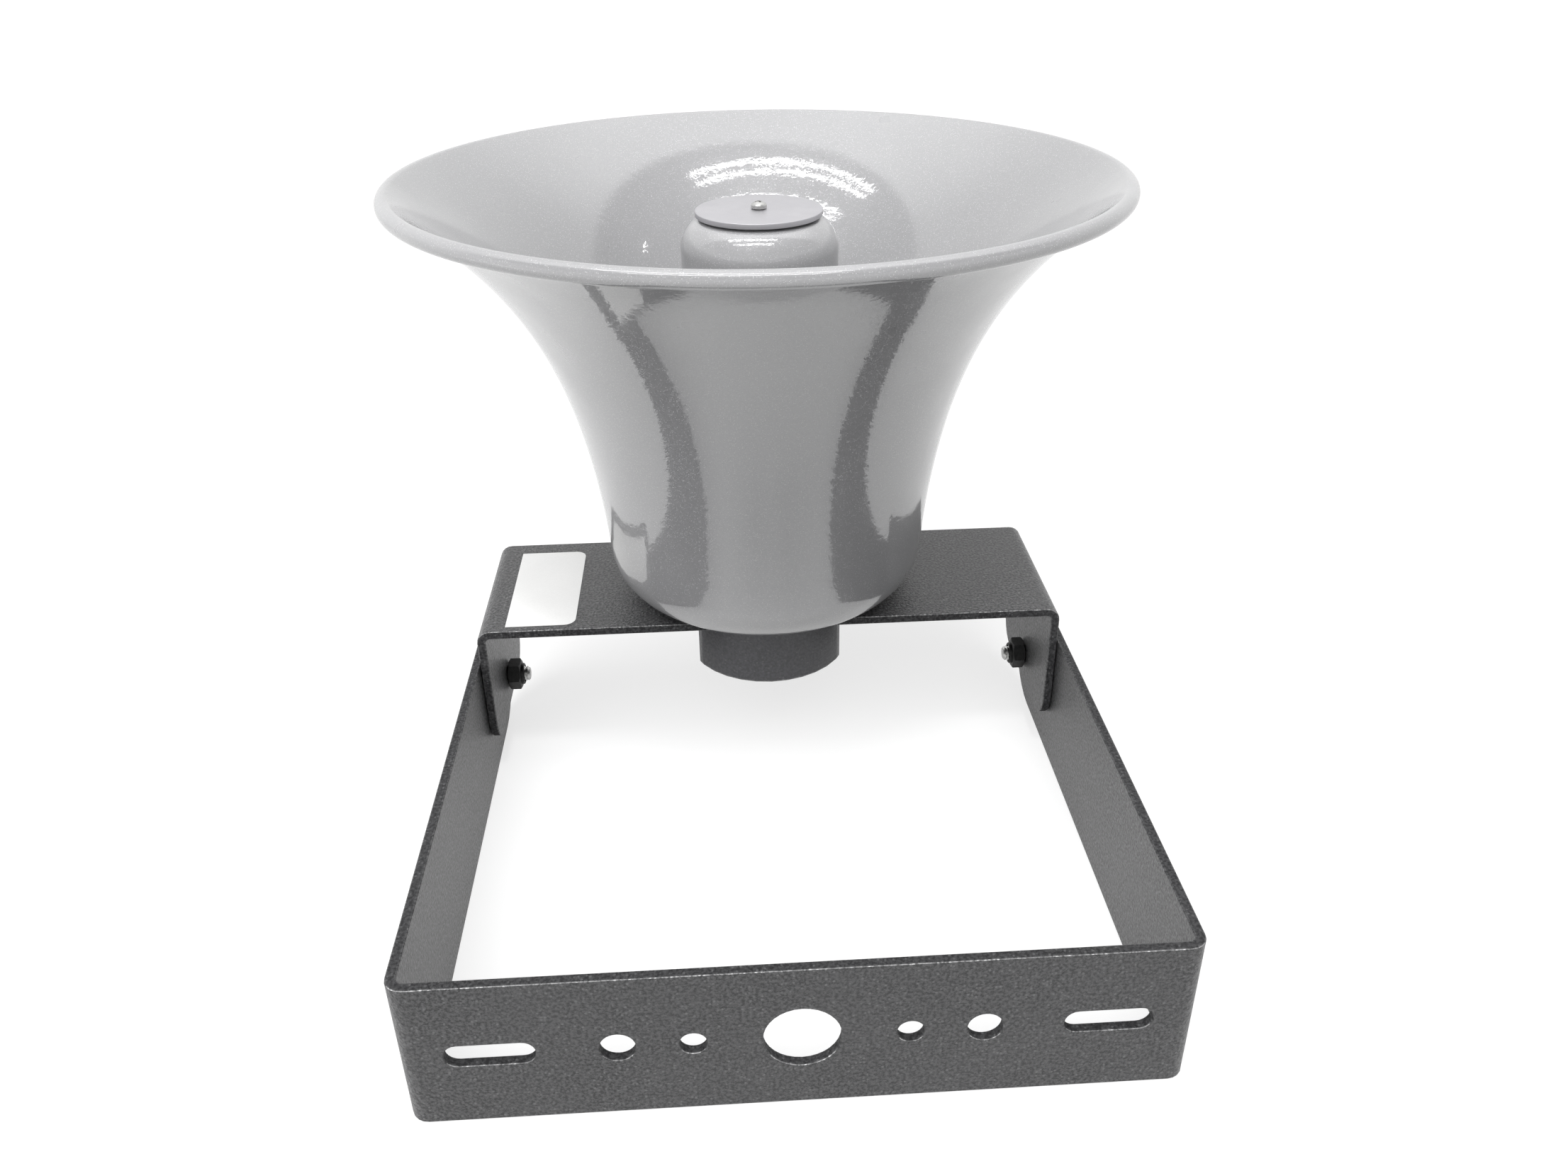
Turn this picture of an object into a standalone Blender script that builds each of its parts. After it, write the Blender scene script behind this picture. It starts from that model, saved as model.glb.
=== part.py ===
"""Paging horn: a re-entrant horn and its driver on a yoke that tilts in a wall bracket.

Metres, +Z up. The horn stands as it lies on a bench: the bracket on its lower edge, the mouth up.
The origin is the middle of the footprint, on the floor. The bracket's base plate faces -Y.
"""
import math

import bmesh
import bpy

# Fits
CLEARANCE = 0.0003
COIL_GAP = 0.0004
TRAVEL = 0.0004

# Mounting bracket: a flat bar bent into a U, standing on edge
BRACKET_WIDTH = 0.2286
BAR_HEIGHT = 0.053
BAR_THICKNESS = 0.0032
BRACKET_BEND_RADIUS = 0.0055
PIVOT_REACH = 0.19685
CONDUIT_HOLE_DIAMETER = 0.0225
SMALL_HOLE_DIAMETER = 0.0079
SMALL_HOLE_OFFSET = 0.031
MEDIUM_HOLE_DIAMETER = 0.0103
MEDIUM_HOLE_OFFSET = 0.0524
SLOT_LENGTH = 0.0258
SLOT_WIDTH = 0.008
SLOT_OFFSET = 0.0882

# Yoke: a plate with two ears turned down, between the bracket's arms
YOKE_DEPTH = 0.0705
YOKE_THICKNESS = 0.0032
YOKE_BEND_RADIUS = 0.005
YOKE_RISE = 0.0415
EAR_DROP = 0.0115
EAR_CORNER_RADIUS = 0.012

# Pivot bolts, their washers and lock nuts
BOLT_DIAMETER = 0.00635
BOLT_HEAD_FLATS = 0.0111
BOLT_HEAD_HEIGHT = 0.0041
BOLT_END = 0.0022
WASHER_DIAMETER = 0.0159
WASHER_THICKNESS = 0.0016
NUT_FLATS = 0.0111
NUT_HEX_HEIGHT = 0.0052
NUT_COLLAR_DIAMETER = 0.0088
NUT_COLLAR_HEIGHT = 0.0012

# Bell: a wall that flares to its rim, where it rolls outwards into a bead
RIM_DIAMETER = 0.246
RIM_HEIGHT = 0.1568
RIM_BEAD_RADIUS = 0.0028
BELL_WALL = 0.0016
BELL_BASE_DIAMETER = 0.1226
BELL_CORNER_RADIUS = 0.020
BELL_STRAIGHT = 0.009
FLARE_LENGTH = 0.0505

# Throat tube, its flange and its threaded spigot
SPIGOT_DIAMETER = 0.0349
THROAT_DIAMETER = 0.020
TUBE_DIAMETER = 0.030
TUBE_BORE = 0.026
TUBE_LENGTH = 0.1142
FLANGE_DIAMETER = 0.064
FLANGE_THICKNESS = 0.004
FLANGE_FILLET = 0.004
FLANGE_GASKET_THICKNESS = 0.001

# Spider that carries the bullet on the throat tube's end
SPIDER_RING = 0.0025
SPIDER_SKIRT = 0.004
SPIDER_WALL = 0.0018
FIN_COUNT = 3
FIN_THICKNESS = 0.002
FIN_HEIGHT = 0.005
FIN_INSET = 0.0005
POST_DIAMETER = 0.009
POST_HEIGHT = 0.020

# Bullet, its cap disc and its screw
BULLET_DIAMETER = 0.0555
BULLET_WALL = 0.0015
BULLET_SHOULDER_RADIUS = 0.012
BULLET_LENGTH = 0.095
CAP_DIAMETER = 0.0445
CAP_THICKNESS = 0.0011
SCREW_DIAMETER = 0.003
SCREW_HEAD_DIAMETER = 0.0056
SCREW_HEAD_HEIGHT = 0.0024
SCREW_DEPTH = 0.010

# Driver housing under the yoke, a round cup with two wrench flats
HUB_DIAMETER = 0.064
HUB_FLATS = 0.056
HUB_BORE_DIAMETER = 0.0494
HUB_ROOF = 0.006
HUB_LIP = 0.0014
HUB_CHAMFER = 0.0008
DRIVER_GASKET_THICKNESS = 0.0008

# Driver: the stack inside the housing, from its roof down
PLUG_RIM = 0.0035
PLUG_TIP_DIAMETER = 0.004
PLUG_TIP_HEIGHT = 0.005
PLUG_SLOT_COUNT = 6
PLUG_SLOT_WIDTH = 0.0016
PLUG_SLOT_START = 0.0028
CLAMP_RING_THICKNESS = 0.0014
CLAMP_RING_WALL = 0.002
TOP_PLATE_THICKNESS = 0.0028
MAGNET_THICKNESS = 0.003
MAGNET_WALL = 0.008
MOTOR_INSET = 0.0019
POLE_DIAMETER = 0.0228
POLE_PLATE_THICKNESS = 0.0022
COIL_WALL = 0.0006
COIL_HEIGHT = 0.0045
DIAPHRAGM_THICKNESS = 0.0004
DOME_HEIGHT = 0.0025
BACK_COVER_THICKNESS = 0.002
RETAINING_RING_THICKNESS = 0.001
RETAINING_RING_WIDTH = 0.0032
RETAINING_RING_GAP = 0.007
GROOVE_DEPTH = 0.0012

# Terminals on the back cover
TERMINAL_SPACING = 0.016
BUSH_DIAMETER = 0.0044
BUSH_FLANGE_DIAMETER = 0.008
BUSH_FLANGE_THICKNESS = 0.0008
TERMINAL_DIAMETER = 0.0026
TERMINAL_HEAD_DIAMETER = 0.006
TERMINAL_HEAD_HEIGHT = 0.002

# Fineness of round shapes
BELL_STEPS = 48
FLARE_POINTS = 11
BEAD_POINTS = 10
CORNER_POINTS = 5
ROUND_STEPS = 32
INNER_STEPS = 24
SMALL_STEPS = 16
SHARP_ANGLE = math.radians(35)
MERGE = 0.00001
OVERCUT = 0.002

# The flare along the middle of the bell's wall, exponential above a straight base, and the bead's reach
FLARE_BASE = (BELL_BASE_DIAMETER - BELL_WALL) / 2
FLARE_RISE = RIM_HEIGHT - BELL_CORNER_RADIUS - BELL_STRAIGHT
FLARE_SCALE = (RIM_DIAMETER / 2 - FLARE_BASE) / (math.exp(FLARE_RISE / FLARE_LENGTH) - 1)
RIM_SLOPE = FLARE_SCALE * math.exp(FLARE_RISE / FLARE_LENGTH) / FLARE_LENGTH
BEAD_OFFSET = RIM_BEAD_RADIUS - BELL_WALL / 2
MOUTH_RADIUS = RIM_DIAMETER / 2 + BEAD_OFFSET / math.hypot(1, RIM_SLOPE) + RIM_BEAD_RADIUS

# Places: the footprint runs from the base plate's face to the back of the mouth
BASE_Y = -(PIVOT_REACH + MOUTH_RADIUS) / 2
PIVOT_Y = BASE_Y + PIVOT_REACH
PIVOT_Z = BAR_HEIGHT / 2
ARM_INSIDE = BRACKET_WIDTH / 2 - BAR_THICKNESS
EAR_OUTSIDE = ARM_INSIDE - CLEARANCE
EAR_INSIDE = EAR_OUTSIDE - YOKE_THICKNESS

# Heights on the horn's axis, measured from the tilt pivot
PLATE_UNDER = YOKE_RISE - YOKE_THICKNESS
BELL_BOTTOM = YOKE_RISE + CLEARANCE
RIM_Z = BELL_BOTTOM + RIM_HEIGHT
FLARE_Z = RIM_Z - FLARE_RISE
GASKET_BOTTOM = BELL_BOTTOM + BELL_WALL + CLEARANCE
FLANGE_BOTTOM = GASKET_BOTTOM + FLANGE_GASKET_THICKNESS + CLEARANCE
FLANGE_TOP = FLANGE_BOTTOM + FLANGE_THICKNESS
TUBE_TOP = FLANGE_TOP + TUBE_LENGTH
SPIDER_BOTTOM = TUBE_TOP + CLEARANCE
POST_TOP = SPIDER_BOTTOM + POST_HEIGHT
BULLET_TOP = POST_TOP + CLEARANCE + BULLET_WALL
CAP_BOTTOM = BULLET_TOP + CLEARANCE
CAP_TOP = CAP_BOTTOM + CAP_THICKNESS
DRIVER_GASKET_TOP = PLATE_UNDER - CLEARANCE
HUB_TOP = DRIVER_GASKET_TOP - DRIVER_GASKET_THICKNESS - CLEARANCE
PLUG_TOP = HUB_TOP - HUB_ROOF - CLEARANCE
PLUG_BOTTOM = PLUG_TOP - PLUG_RIM
CLAMP_TOP = PLUG_BOTTOM - CLEARANCE
CLAMP_BOTTOM = CLAMP_TOP - CLAMP_RING_THICKNESS
TOP_PLATE_TOP = CLAMP_BOTTOM - CLEARANCE
TOP_PLATE_BOTTOM = TOP_PLATE_TOP - TOP_PLATE_THICKNESS
MAGNET_TOP = TOP_PLATE_BOTTOM - CLEARANCE
MAGNET_BOTTOM = MAGNET_TOP - MAGNET_THICKNESS
POLE_PLATE_TOP = MAGNET_BOTTOM - CLEARANCE
POLE_PLATE_BOTTOM = POLE_PLATE_TOP - POLE_PLATE_THICKNESS
COVER_TOP = POLE_PLATE_BOTTOM - CLEARANCE
COVER_BOTTOM = COVER_TOP - BACK_COVER_THICKNESS
RING_TOP = COVER_BOTTOM - CLEARANCE
RING_BOTTOM = RING_TOP - RETAINING_RING_THICKNESS
HUB_BOTTOM = RING_BOTTOM - CLEARANCE - HUB_LIP
DIAPHRAGM_BOTTOM = (CLAMP_TOP + CLAMP_BOTTOM - DIAPHRAGM_THICKNESS) / 2

# Radii that fit one another
SPIGOT_HOLE = SPIGOT_DIAMETER / 2 + CLEARANCE
HUB_BORE = HUB_BORE_DIAMETER / 2
FILLED_BORE = HUB_BORE - CLEARANCE
CLAMP_INSIDE = FILLED_BORE - CLAMP_RING_WALL
MOTOR_RADIUS = FILLED_BORE - MOTOR_INSET
POLE_RADIUS = POLE_DIAMETER / 2
COIL_INSIDE = POLE_RADIUS + COIL_GAP
COIL_OUTSIDE = COIL_INSIDE + COIL_WALL
PLATE_BORE = COIL_OUTSIDE + COIL_GAP
SHANK_HOLE = BOLT_DIAMETER / 2 + CLEARANCE
SCREW_HOLE = SCREW_DIAMETER / 2 + CLEARANCE

# Finishes: base colour, roughness, metallic
GREY_ENAMEL = ((0.16, 0.16, 0.165, 1.0), 0.22, 0.0)
CHARCOAL_COAT = ((0.045, 0.045, 0.047, 1.0), 0.62, 0.0)
BLACK_STEEL = ((0.02, 0.02, 0.021, 1.0), 0.45, 0.6)
ZINC_STEEL = ((0.58, 0.58, 0.57, 1.0), 0.32, 1.0)
CAST_ALLOY = ((0.42, 0.43, 0.44, 1.0), 0.45, 1.0)
BLACK_RUBBER = ((0.018, 0.018, 0.018, 1.0), 0.8, 0.0)
BLACK_PLASTIC = ((0.03, 0.03, 0.032, 1.0), 0.5, 0.0)
FERRITE = ((0.07, 0.07, 0.075, 1.0), 0.6, 0.1)
AMBER_FILM = ((0.42, 0.2, 0.06, 1.0), 0.35, 0.0)
COPPER = ((0.72, 0.32, 0.16, 1.0), 0.3, 1.0)
BRASS = ((0.66, 0.48, 0.2, 1.0), 0.3, 1.0)


def clear_scene():
    for obj in list(bpy.data.objects):
        bpy.data.objects.remove(obj, do_unlink=True)


def new_collection(name):
    collection = bpy.data.collections.new(name)
    bpy.context.scene.collection.children.link(collection)
    return collection


def finish(name, look):
    colour, roughness, metallic = look
    material = bpy.data.materials.new(name)
    material.use_nodes = True
    shader = material.node_tree.nodes["Principled BSDF"]
    shader.inputs["Base Color"].default_value = colour
    shader.inputs["Roughness"].default_value = roughness
    shader.inputs["Metallic"].default_value = metallic
    return material


def new_empty(name, location, parent=None):
    empty = bpy.data.objects.new(name, None)
    empty.location = location
    empty.parent = parent
    parts.objects.link(empty)
    return empty


def add_part(name, mesh, look, parent, location=(0, 0, 0), rotation=(0, 0, 0)):
    obj = bpy.data.objects.new(name, mesh)
    obj.location = location
    obj.rotation_euler = rotation
    obj.parent = parent
    mesh.materials.clear()
    mesh.materials.append(finish(name, look))
    parts.objects.link(obj)
    return obj


def combine(target, mesh, operation="DIFFERENCE", location=(0, 0, 0), rotation=(0, 0, 0)):
    """Cut a mesh from target, join it or keep what they share. The place is in the parent's frame."""
    tool = bpy.data.objects.new(f"{target.name}_tool", mesh)
    tool.location = location
    tool.rotation_euler = rotation
    tool.parent = target.parent
    tool.hide_render = True
    tool.display_type = "WIRE"
    cutters.objects.link(tool)
    boolean = target.modifiers.new(operation.lower(), "BOOLEAN")
    boolean.operation = operation
    boolean.solver = "EXACT"
    boolean.object = tool


def to_mesh(obj):
    """The evaluated mesh of obj, welded and shaded, in place of obj."""
    parts.objects.link(obj)
    depsgraph = bpy.context.evaluated_depsgraph_get()
    mesh = bpy.data.meshes.new_from_object(obj.evaluated_get(depsgraph))
    bpy.data.objects.remove(obj, do_unlink=True)
    work = bmesh.new()
    work.from_mesh(mesh)
    bmesh.ops.remove_doubles(work, verts=work.verts, dist=MERGE)
    work.to_mesh(mesh)
    work.free()
    mesh.shade_smooth()
    mesh.set_sharp_from_angle(angle=SHARP_ANGLE)
    return mesh


def arc(centre, radius, start, end, segments):
    """Points of an arc, its angles in degrees."""
    angles = [math.radians(start + (end - start) * i / segments) for i in range(segments + 1)]
    return [(centre[0] + radius * math.cos(a), centre[1] + radius * math.sin(a)) for a in angles]


def round_corners(points, radii, closed):
    """An outline with each corner that has a radius turned into an arc of a few points."""
    outline = []
    count = len(points)
    for i, (point, radius) in enumerate(zip(points, radii)):
        if not radius or (not closed and i in (0, count - 1)):
            outline.append(point)
            continue
        before, after = points[i - 1], points[(i + 1) % count]
        to_before = math.atan2(before[1] - point[1], before[0] - point[0])
        to_after = math.atan2(after[1] - point[1], after[0] - point[0])
        opening = math.remainder(to_after - to_before, math.tau)
        reach = radius / math.sin(abs(opening) / 2)
        middle = to_before + opening / 2
        centre = (point[0] + reach * math.cos(middle), point[1] + reach * math.sin(middle))
        turn = math.copysign(math.pi - abs(opening), opening)
        start = middle + math.pi + turn / 2
        outline += arc(centre, radius, math.degrees(start), math.degrees(start - turn), CORNER_POINTS)
    return outline


def turned(name, profile, steps=ROUND_STEPS):
    """A turned solid. The profile of (radius, height) points runs down the outer side."""
    closed = min(radius for radius, _ in profile) > 0
    mesh = bpy.data.meshes.new(name)
    edges = [(i, i + 1) for i in range(len(profile) - 1)]
    if closed:
        edges.append((len(profile) - 1, 0))
    mesh.from_pydata([(radius, 0, height) for radius, height in profile], edges, [])
    obj = bpy.data.objects.new(name, mesh)
    screw = obj.modifiers.new("turn", "SCREW")
    screw.axis = "Z"
    screw.angle = math.tau
    screw.steps = steps
    screw.render_steps = steps
    screw.use_merge_vertices = True
    screw.merge_threshold = MERGE
    return to_mesh(obj)


def rod(name, radius, bottom, top, steps=ROUND_STEPS):
    return turned(name, [(0, top), (radius, top), (radius, bottom), (0, bottom)], steps)


def ring(name, outside, inside, bottom, top, steps=ROUND_STEPS):
    return turned(name, [(inside, top), (outside, top), (outside, bottom), (inside, bottom)], steps)


def prism(name, outline, thickness):
    """A flat outline in X and Y, extruded to both sides of Z = 0."""
    curve = bpy.data.curves.new(name, "CURVE")
    curve.dimensions = "2D"
    curve.fill_mode = "BOTH"
    curve.extrude = thickness / 2
    spline = curve.splines.new("POLY")
    spline.points.add(len(outline) - 1)
    for point, (x, y) in zip(spline.points, outline):
        point.co = (x, y, 0, 1)
    spline.use_cyclic_u = True
    return to_mesh(bpy.data.objects.new(name, curve))


def box(name, size):
    mesh = bpy.data.meshes.new(name)
    work = bmesh.new()
    bmesh.ops.create_cube(work, size=1)
    bmesh.ops.scale(work, vec=size, verts=work.verts)
    work.to_mesh(mesh)
    work.free()
    return mesh


def hexagon(flats):
    return arc((0, 0), flats / math.sqrt(3), 0, 300, 5)


def bent_sheet(name, path, width, thickness):
    """A strip that follows an open path in X and Y, as wide as stated in Z, its thickness to the left."""
    mesh = bpy.data.meshes.new(name)
    strip = bmesh.new()
    rows = [[strip.verts.new((x, y, z)) for z in (-width / 2, width / 2)] for x, y in path]
    for (low, high), (next_low, next_high) in zip(rows, rows[1:]):
        strip.faces.new((low, next_low, next_high, high))
    strip.to_mesh(mesh)
    strip.free()
    obj = bpy.data.objects.new(name, mesh)
    solid = obj.modifiers.new("thickness", "SOLIDIFY")
    solid.thickness = thickness
    solid.offset = -1
    solid.use_even_offset = True
    return to_mesh(obj)


# Rotations that turn the axis of a prism or a rod from Z to X or Y
ALONG_X = (math.pi / 2, 0, math.pi / 2)
ALONG_Y = (math.pi / 2, 0, 0)


def mounting_bracket():
    half = BRACKET_WIDTH / 2
    arm_end = PIVOT_Y + BAR_HEIGHT / 2
    corners = [(-half, arm_end), (-half, BASE_Y), (half, BASE_Y), (half, arm_end)]
    path = round_corners(corners, [0, BRACKET_BEND_RADIUS, BRACKET_BEND_RADIUS, 0], closed=False)
    bar = bent_sheet("mounting_bracket", path, BAR_HEIGHT, BAR_THICKNESS)
    bracket = add_part("mounting_bracket", bar, CHARCOAL_COAT, None, (0, 0, PIVOT_Z))

    front = BASE_Y - OVERCUT
    edge = BAR_HEIGHT / 2
    side = [(PIVOT_Y, edge), (front, edge), (front, -edge), (PIVOT_Y, -edge)]
    side += arc((PIVOT_Y, 0), edge, -90, 90, 3 * CORNER_POINTS)[1:-1]
    arm_outline = prism("arm_outline", side, BRACKET_WIDTH + OVERCUT)
    combine(bracket, arm_outline, "INTERSECT", (0, 0, PIVOT_Z), ALONG_X)

    depth = BAR_THICKNESS + OVERCUT
    base_holes = [(CONDUIT_HOLE_DIAMETER, 0)]
    for side in (-1, 1):
        base_holes += [
            (SMALL_HOLE_DIAMETER, side * SMALL_HOLE_OFFSET),
            (MEDIUM_HOLE_DIAMETER, side * MEDIUM_HOLE_OFFSET),
        ]
    for diameter, x in base_holes:
        hole = rod("base_hole", diameter / 2, -depth, depth, ROUND_STEPS)
        combine(bracket, hole, location=(x, BASE_Y, PIVOT_Z), rotation=ALONG_Y)
    end = SLOT_WIDTH / 2
    straight = SLOT_LENGTH / 2 - end
    slot = arc((straight, 0), end, -90, 90, 2 * CORNER_POINTS)
    slot += arc((-straight, 0), end, 90, 270, 2 * CORNER_POINTS)
    for side in (-1, 1):
        place = (side * SLOT_OFFSET, BASE_Y, PIVOT_Z)
        combine(bracket, prism("slot", slot, 2 * depth), location=place, rotation=ALONG_Y)
    pivot_hole = rod("pivot_hole", SHANK_HOLE, -BRACKET_WIDTH, BRACKET_WIDTH, SMALL_STEPS)
    combine(bracket, pivot_hole, location=(0, PIVOT_Y, PIVOT_Z), rotation=ALONG_X)


def pivot_hardware(side, name):
    """The bolt, its washer outside the arm and its lock nut inside the ear, on one side."""
    facing = (0, side * math.pi / 2, 0)
    place = (0, PIVOT_Y, PIVOT_Z)
    arm_outside = BRACKET_WIDTH / 2
    washer_inside = arm_outside + CLEARANCE
    washer_outside = washer_inside + WASHER_THICKNESS
    head_inside = washer_outside + CLEARANCE
    nut_outside = EAR_INSIDE - CLEARANCE
    collar_outside = nut_outside - NUT_HEX_HEIGHT
    nut_inside = collar_outside - NUT_COLLAR_HEIGHT
    shank_end = nut_inside - BOLT_END
    radius = BOLT_DIAMETER / 2
    chamfer = radius / 4

    washer = ring("washer", WASHER_DIAMETER / 2, SHANK_HOLE, washer_inside, washer_outside, SMALL_STEPS)
    add_part(f"pivot_washer_{name}", washer, ZINC_STEEL, None, place, facing)

    shank = [(0, head_inside + BOLT_HEAD_HEIGHT / 2), (radius, head_inside + BOLT_HEAD_HEIGHT / 2)]
    shank += [(radius, shank_end + chamfer), (radius - chamfer, shank_end), (0, shank_end)]
    shank_mesh = turned("shank", shank, SMALL_STEPS)
    bolt = add_part(f"pivot_bolt_{name}", shank_mesh, ZINC_STEEL, None, place, facing)
    head = prism("bolt_head", hexagon(BOLT_HEAD_FLATS), BOLT_HEAD_HEIGHT)
    head_middle = side * (head_inside + BOLT_HEAD_HEIGHT / 2)
    combine(bolt, head, "UNION", (head_middle, PIVOT_Y, PIVOT_Z), facing)

    collar = rod("collar", NUT_COLLAR_DIAMETER / 2, nut_inside, nut_outside - NUT_HEX_HEIGHT / 2, SMALL_STEPS)
    nut = add_part(f"lock_nut_{name}", collar, BLACK_STEEL, None, place, facing)
    nut_middle = side * (nut_outside - NUT_HEX_HEIGHT / 2)
    nut_hex = prism("nut_hex", hexagon(NUT_FLATS), NUT_HEX_HEIGHT)
    combine(nut, nut_hex, "UNION", (nut_middle, PIVOT_Y, PIVOT_Z), facing)
    bore = rod("nut_bore", SHANK_HOLE, nut_inside - OVERCUT, nut_outside + OVERCUT, SMALL_STEPS)
    combine(nut, bore, location=place, rotation=facing)


def horn_yoke(horn):
    corners = [(EAR_OUTSIDE, -EAR_DROP), (EAR_OUTSIDE, YOKE_RISE)]
    corners += [(-EAR_OUTSIDE, YOKE_RISE), (-EAR_OUTSIDE, -EAR_DROP)]
    path = round_corners(corners, [0, YOKE_BEND_RADIUS, YOKE_BEND_RADIUS, 0], closed=False)
    sheet = bent_sheet("horn_yoke", path, YOKE_DEPTH, YOKE_THICKNESS)
    yoke = add_part("horn_yoke", sheet, CHARCOAL_COAT, horn, rotation=ALONG_Y)

    reach = YOKE_DEPTH / 2
    top = YOKE_RISE + OVERCUT
    side = [(-reach, -EAR_DROP), (reach, -EAR_DROP), (reach, top), (-reach, top)]
    side = round_corners(side, [EAR_CORNER_RADIUS, EAR_CORNER_RADIUS, 0, 0], closed=True)
    combine(yoke, prism("ear_outline", side, BRACKET_WIDTH), "INTERSECT", rotation=ALONG_X)
    combine(yoke, rod("throat_hole", SPIGOT_HOLE, PLATE_UNDER - OVERCUT, YOKE_RISE + OVERCUT))
    pivot_hole = rod("ear_hole", SHANK_HOLE, -BRACKET_WIDTH, BRACKET_WIDTH, SMALL_STEPS)
    combine(yoke, pivot_hole, rotation=ALONG_X)


def flare(height):
    """Radius and slope of the middle of the bell's wall."""
    growth = math.exp((height - FLARE_Z) / FLARE_LENGTH)
    return FLARE_BASE + FLARE_SCALE * (growth - 1), FLARE_SCALE * growth / FLARE_LENGTH


def flare_point(height, offset):
    """A point beside the middle of the wall, outside it where offset is positive."""
    radius, slope = flare(height)
    stretch = math.hypot(1, slope)
    return radius + offset / stretch, height - offset * slope / stretch


def bell_profile():
    """Over the bead, down the outer side, under the base and up the inner side to the bead."""
    half_wall = BELL_WALL / 2
    start = 180 - math.degrees(math.atan(RIM_SLOPE))
    seam = math.acos(1 - BELL_WALL / RIM_BEAD_RADIUS)
    end = start + math.degrees(seam) - 360
    bead = arc(flare_point(RIM_Z, BEAD_OFFSET), RIM_BEAD_RADIUS, start, end, BEAD_POINTS)
    seam_drop = RIM_BEAD_RADIUS * math.sin(seam) / math.hypot(1, RIM_SLOPE)
    steps = [i / FLARE_POINTS for i in range(FLARE_POINTS)]
    outer = [flare_point(FLARE_Z + (FLARE_RISE - seam_drop) * step, half_wall) for step in steps]
    inner = [flare_point(FLARE_Z + FLARE_RISE * step, -half_wall) for step in steps]

    corner = (BELL_BASE_DIAMETER / 2 - BELL_CORNER_RADIUS, BELL_BOTTOM + BELL_CORNER_RADIUS)
    outside = bead + outer[::-1] + arc(corner, BELL_CORNER_RADIUS, 0, -90, CORNER_POINTS)
    floor = [(SPIGOT_HOLE, BELL_BOTTOM), (SPIGOT_HOLE, BELL_BOTTOM + BELL_WALL)]
    inside = arc(corner, BELL_CORNER_RADIUS - BELL_WALL, -90, 0, CORNER_POINTS) + inner
    return outside + floor + inside


def horn_parts(horn):
    add_part("bell", turned("bell", bell_profile(), BELL_STEPS), GREY_ENAMEL, horn)
    gasket_top = GASKET_BOTTOM + FLANGE_GASKET_THICKNESS
    gasket = ring("flange_gasket", FLANGE_DIAMETER / 2, SPIGOT_HOLE, GASKET_BOTTOM, gasket_top, INNER_STEPS)
    add_part("flange_gasket", gasket, BLACK_RUBBER, horn)
    throat_tube(horn)
    reflector_spider(horn)

    radius = BULLET_DIAMETER / 2
    inner_radius = radius - BULLET_WALL
    bottom = BULLET_TOP - BULLET_LENGTH
    shoulder = (radius - BULLET_SHOULDER_RADIUS, BULLET_TOP - BULLET_SHOULDER_RADIUS)
    profile = [(SCREW_HOLE, BULLET_TOP)]
    profile += arc(shoulder, BULLET_SHOULDER_RADIUS, 90, 0, CORNER_POINTS)
    profile += [(radius, bottom), (inner_radius, bottom)]
    profile += arc(shoulder, BULLET_SHOULDER_RADIUS - BULLET_WALL, 0, 90, CORNER_POINTS)
    profile += [(SCREW_HOLE, BULLET_TOP - BULLET_WALL)]
    add_part("reflector_bullet", turned("reflector_bullet", profile, ROUND_STEPS), GREY_ENAMEL, horn)

    cap = ring("cap_disc", CAP_DIAMETER / 2, SCREW_HOLE, CAP_BOTTOM, CAP_TOP)
    add_part("cap_disc", cap, CAST_ALLOY, horn)
    add_part("cap_screw", cap_screw(), ZINC_STEEL, horn)


def cap_screw():
    head_radius = SCREW_HEAD_DIAMETER / 2
    seat = CAP_TOP + CLEARANCE
    top = seat + SCREW_HEAD_HEIGHT
    round_over = SCREW_HEAD_HEIGHT / 2
    profile = [(0, top)]
    profile += arc((head_radius - round_over, top - round_over), round_over, 90, 0, CORNER_POINTS)
    profile += [(head_radius, seat), (SCREW_DIAMETER / 2, seat)]
    profile += [(SCREW_DIAMETER / 2, POST_TOP - SCREW_DEPTH), (0, POST_TOP - SCREW_DEPTH)]
    return turned("cap_screw", profile, SMALL_STEPS)


def throat_tube(horn):
    """Tube, flange on the bell's floor and spigot down to the underside of the housing's roof."""
    spigot_bottom = HUB_TOP - HUB_ROOF
    straight = TUBE_TOP - 2 * SPIDER_SKIRT
    fillet = (TUBE_DIAMETER / 2 + FLANGE_FILLET, FLANGE_TOP + FLANGE_FILLET)
    profile = [(TUBE_BORE / 2, TUBE_TOP), (TUBE_DIAMETER / 2, TUBE_TOP)]
    profile += arc(fillet, FLANGE_FILLET, 180, 270, CORNER_POINTS)
    profile += [(FLANGE_DIAMETER / 2, FLANGE_TOP), (FLANGE_DIAMETER / 2, FLANGE_BOTTOM)]
    profile += [(SPIGOT_DIAMETER / 2, FLANGE_BOTTOM), (SPIGOT_DIAMETER / 2, spigot_bottom)]
    profile += [(THROAT_DIAMETER / 2, spigot_bottom), (TUBE_BORE / 2, straight)]
    add_part("throat_tube", turned("throat_tube", profile, INNER_STEPS), CAST_ALLOY, horn)


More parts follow.
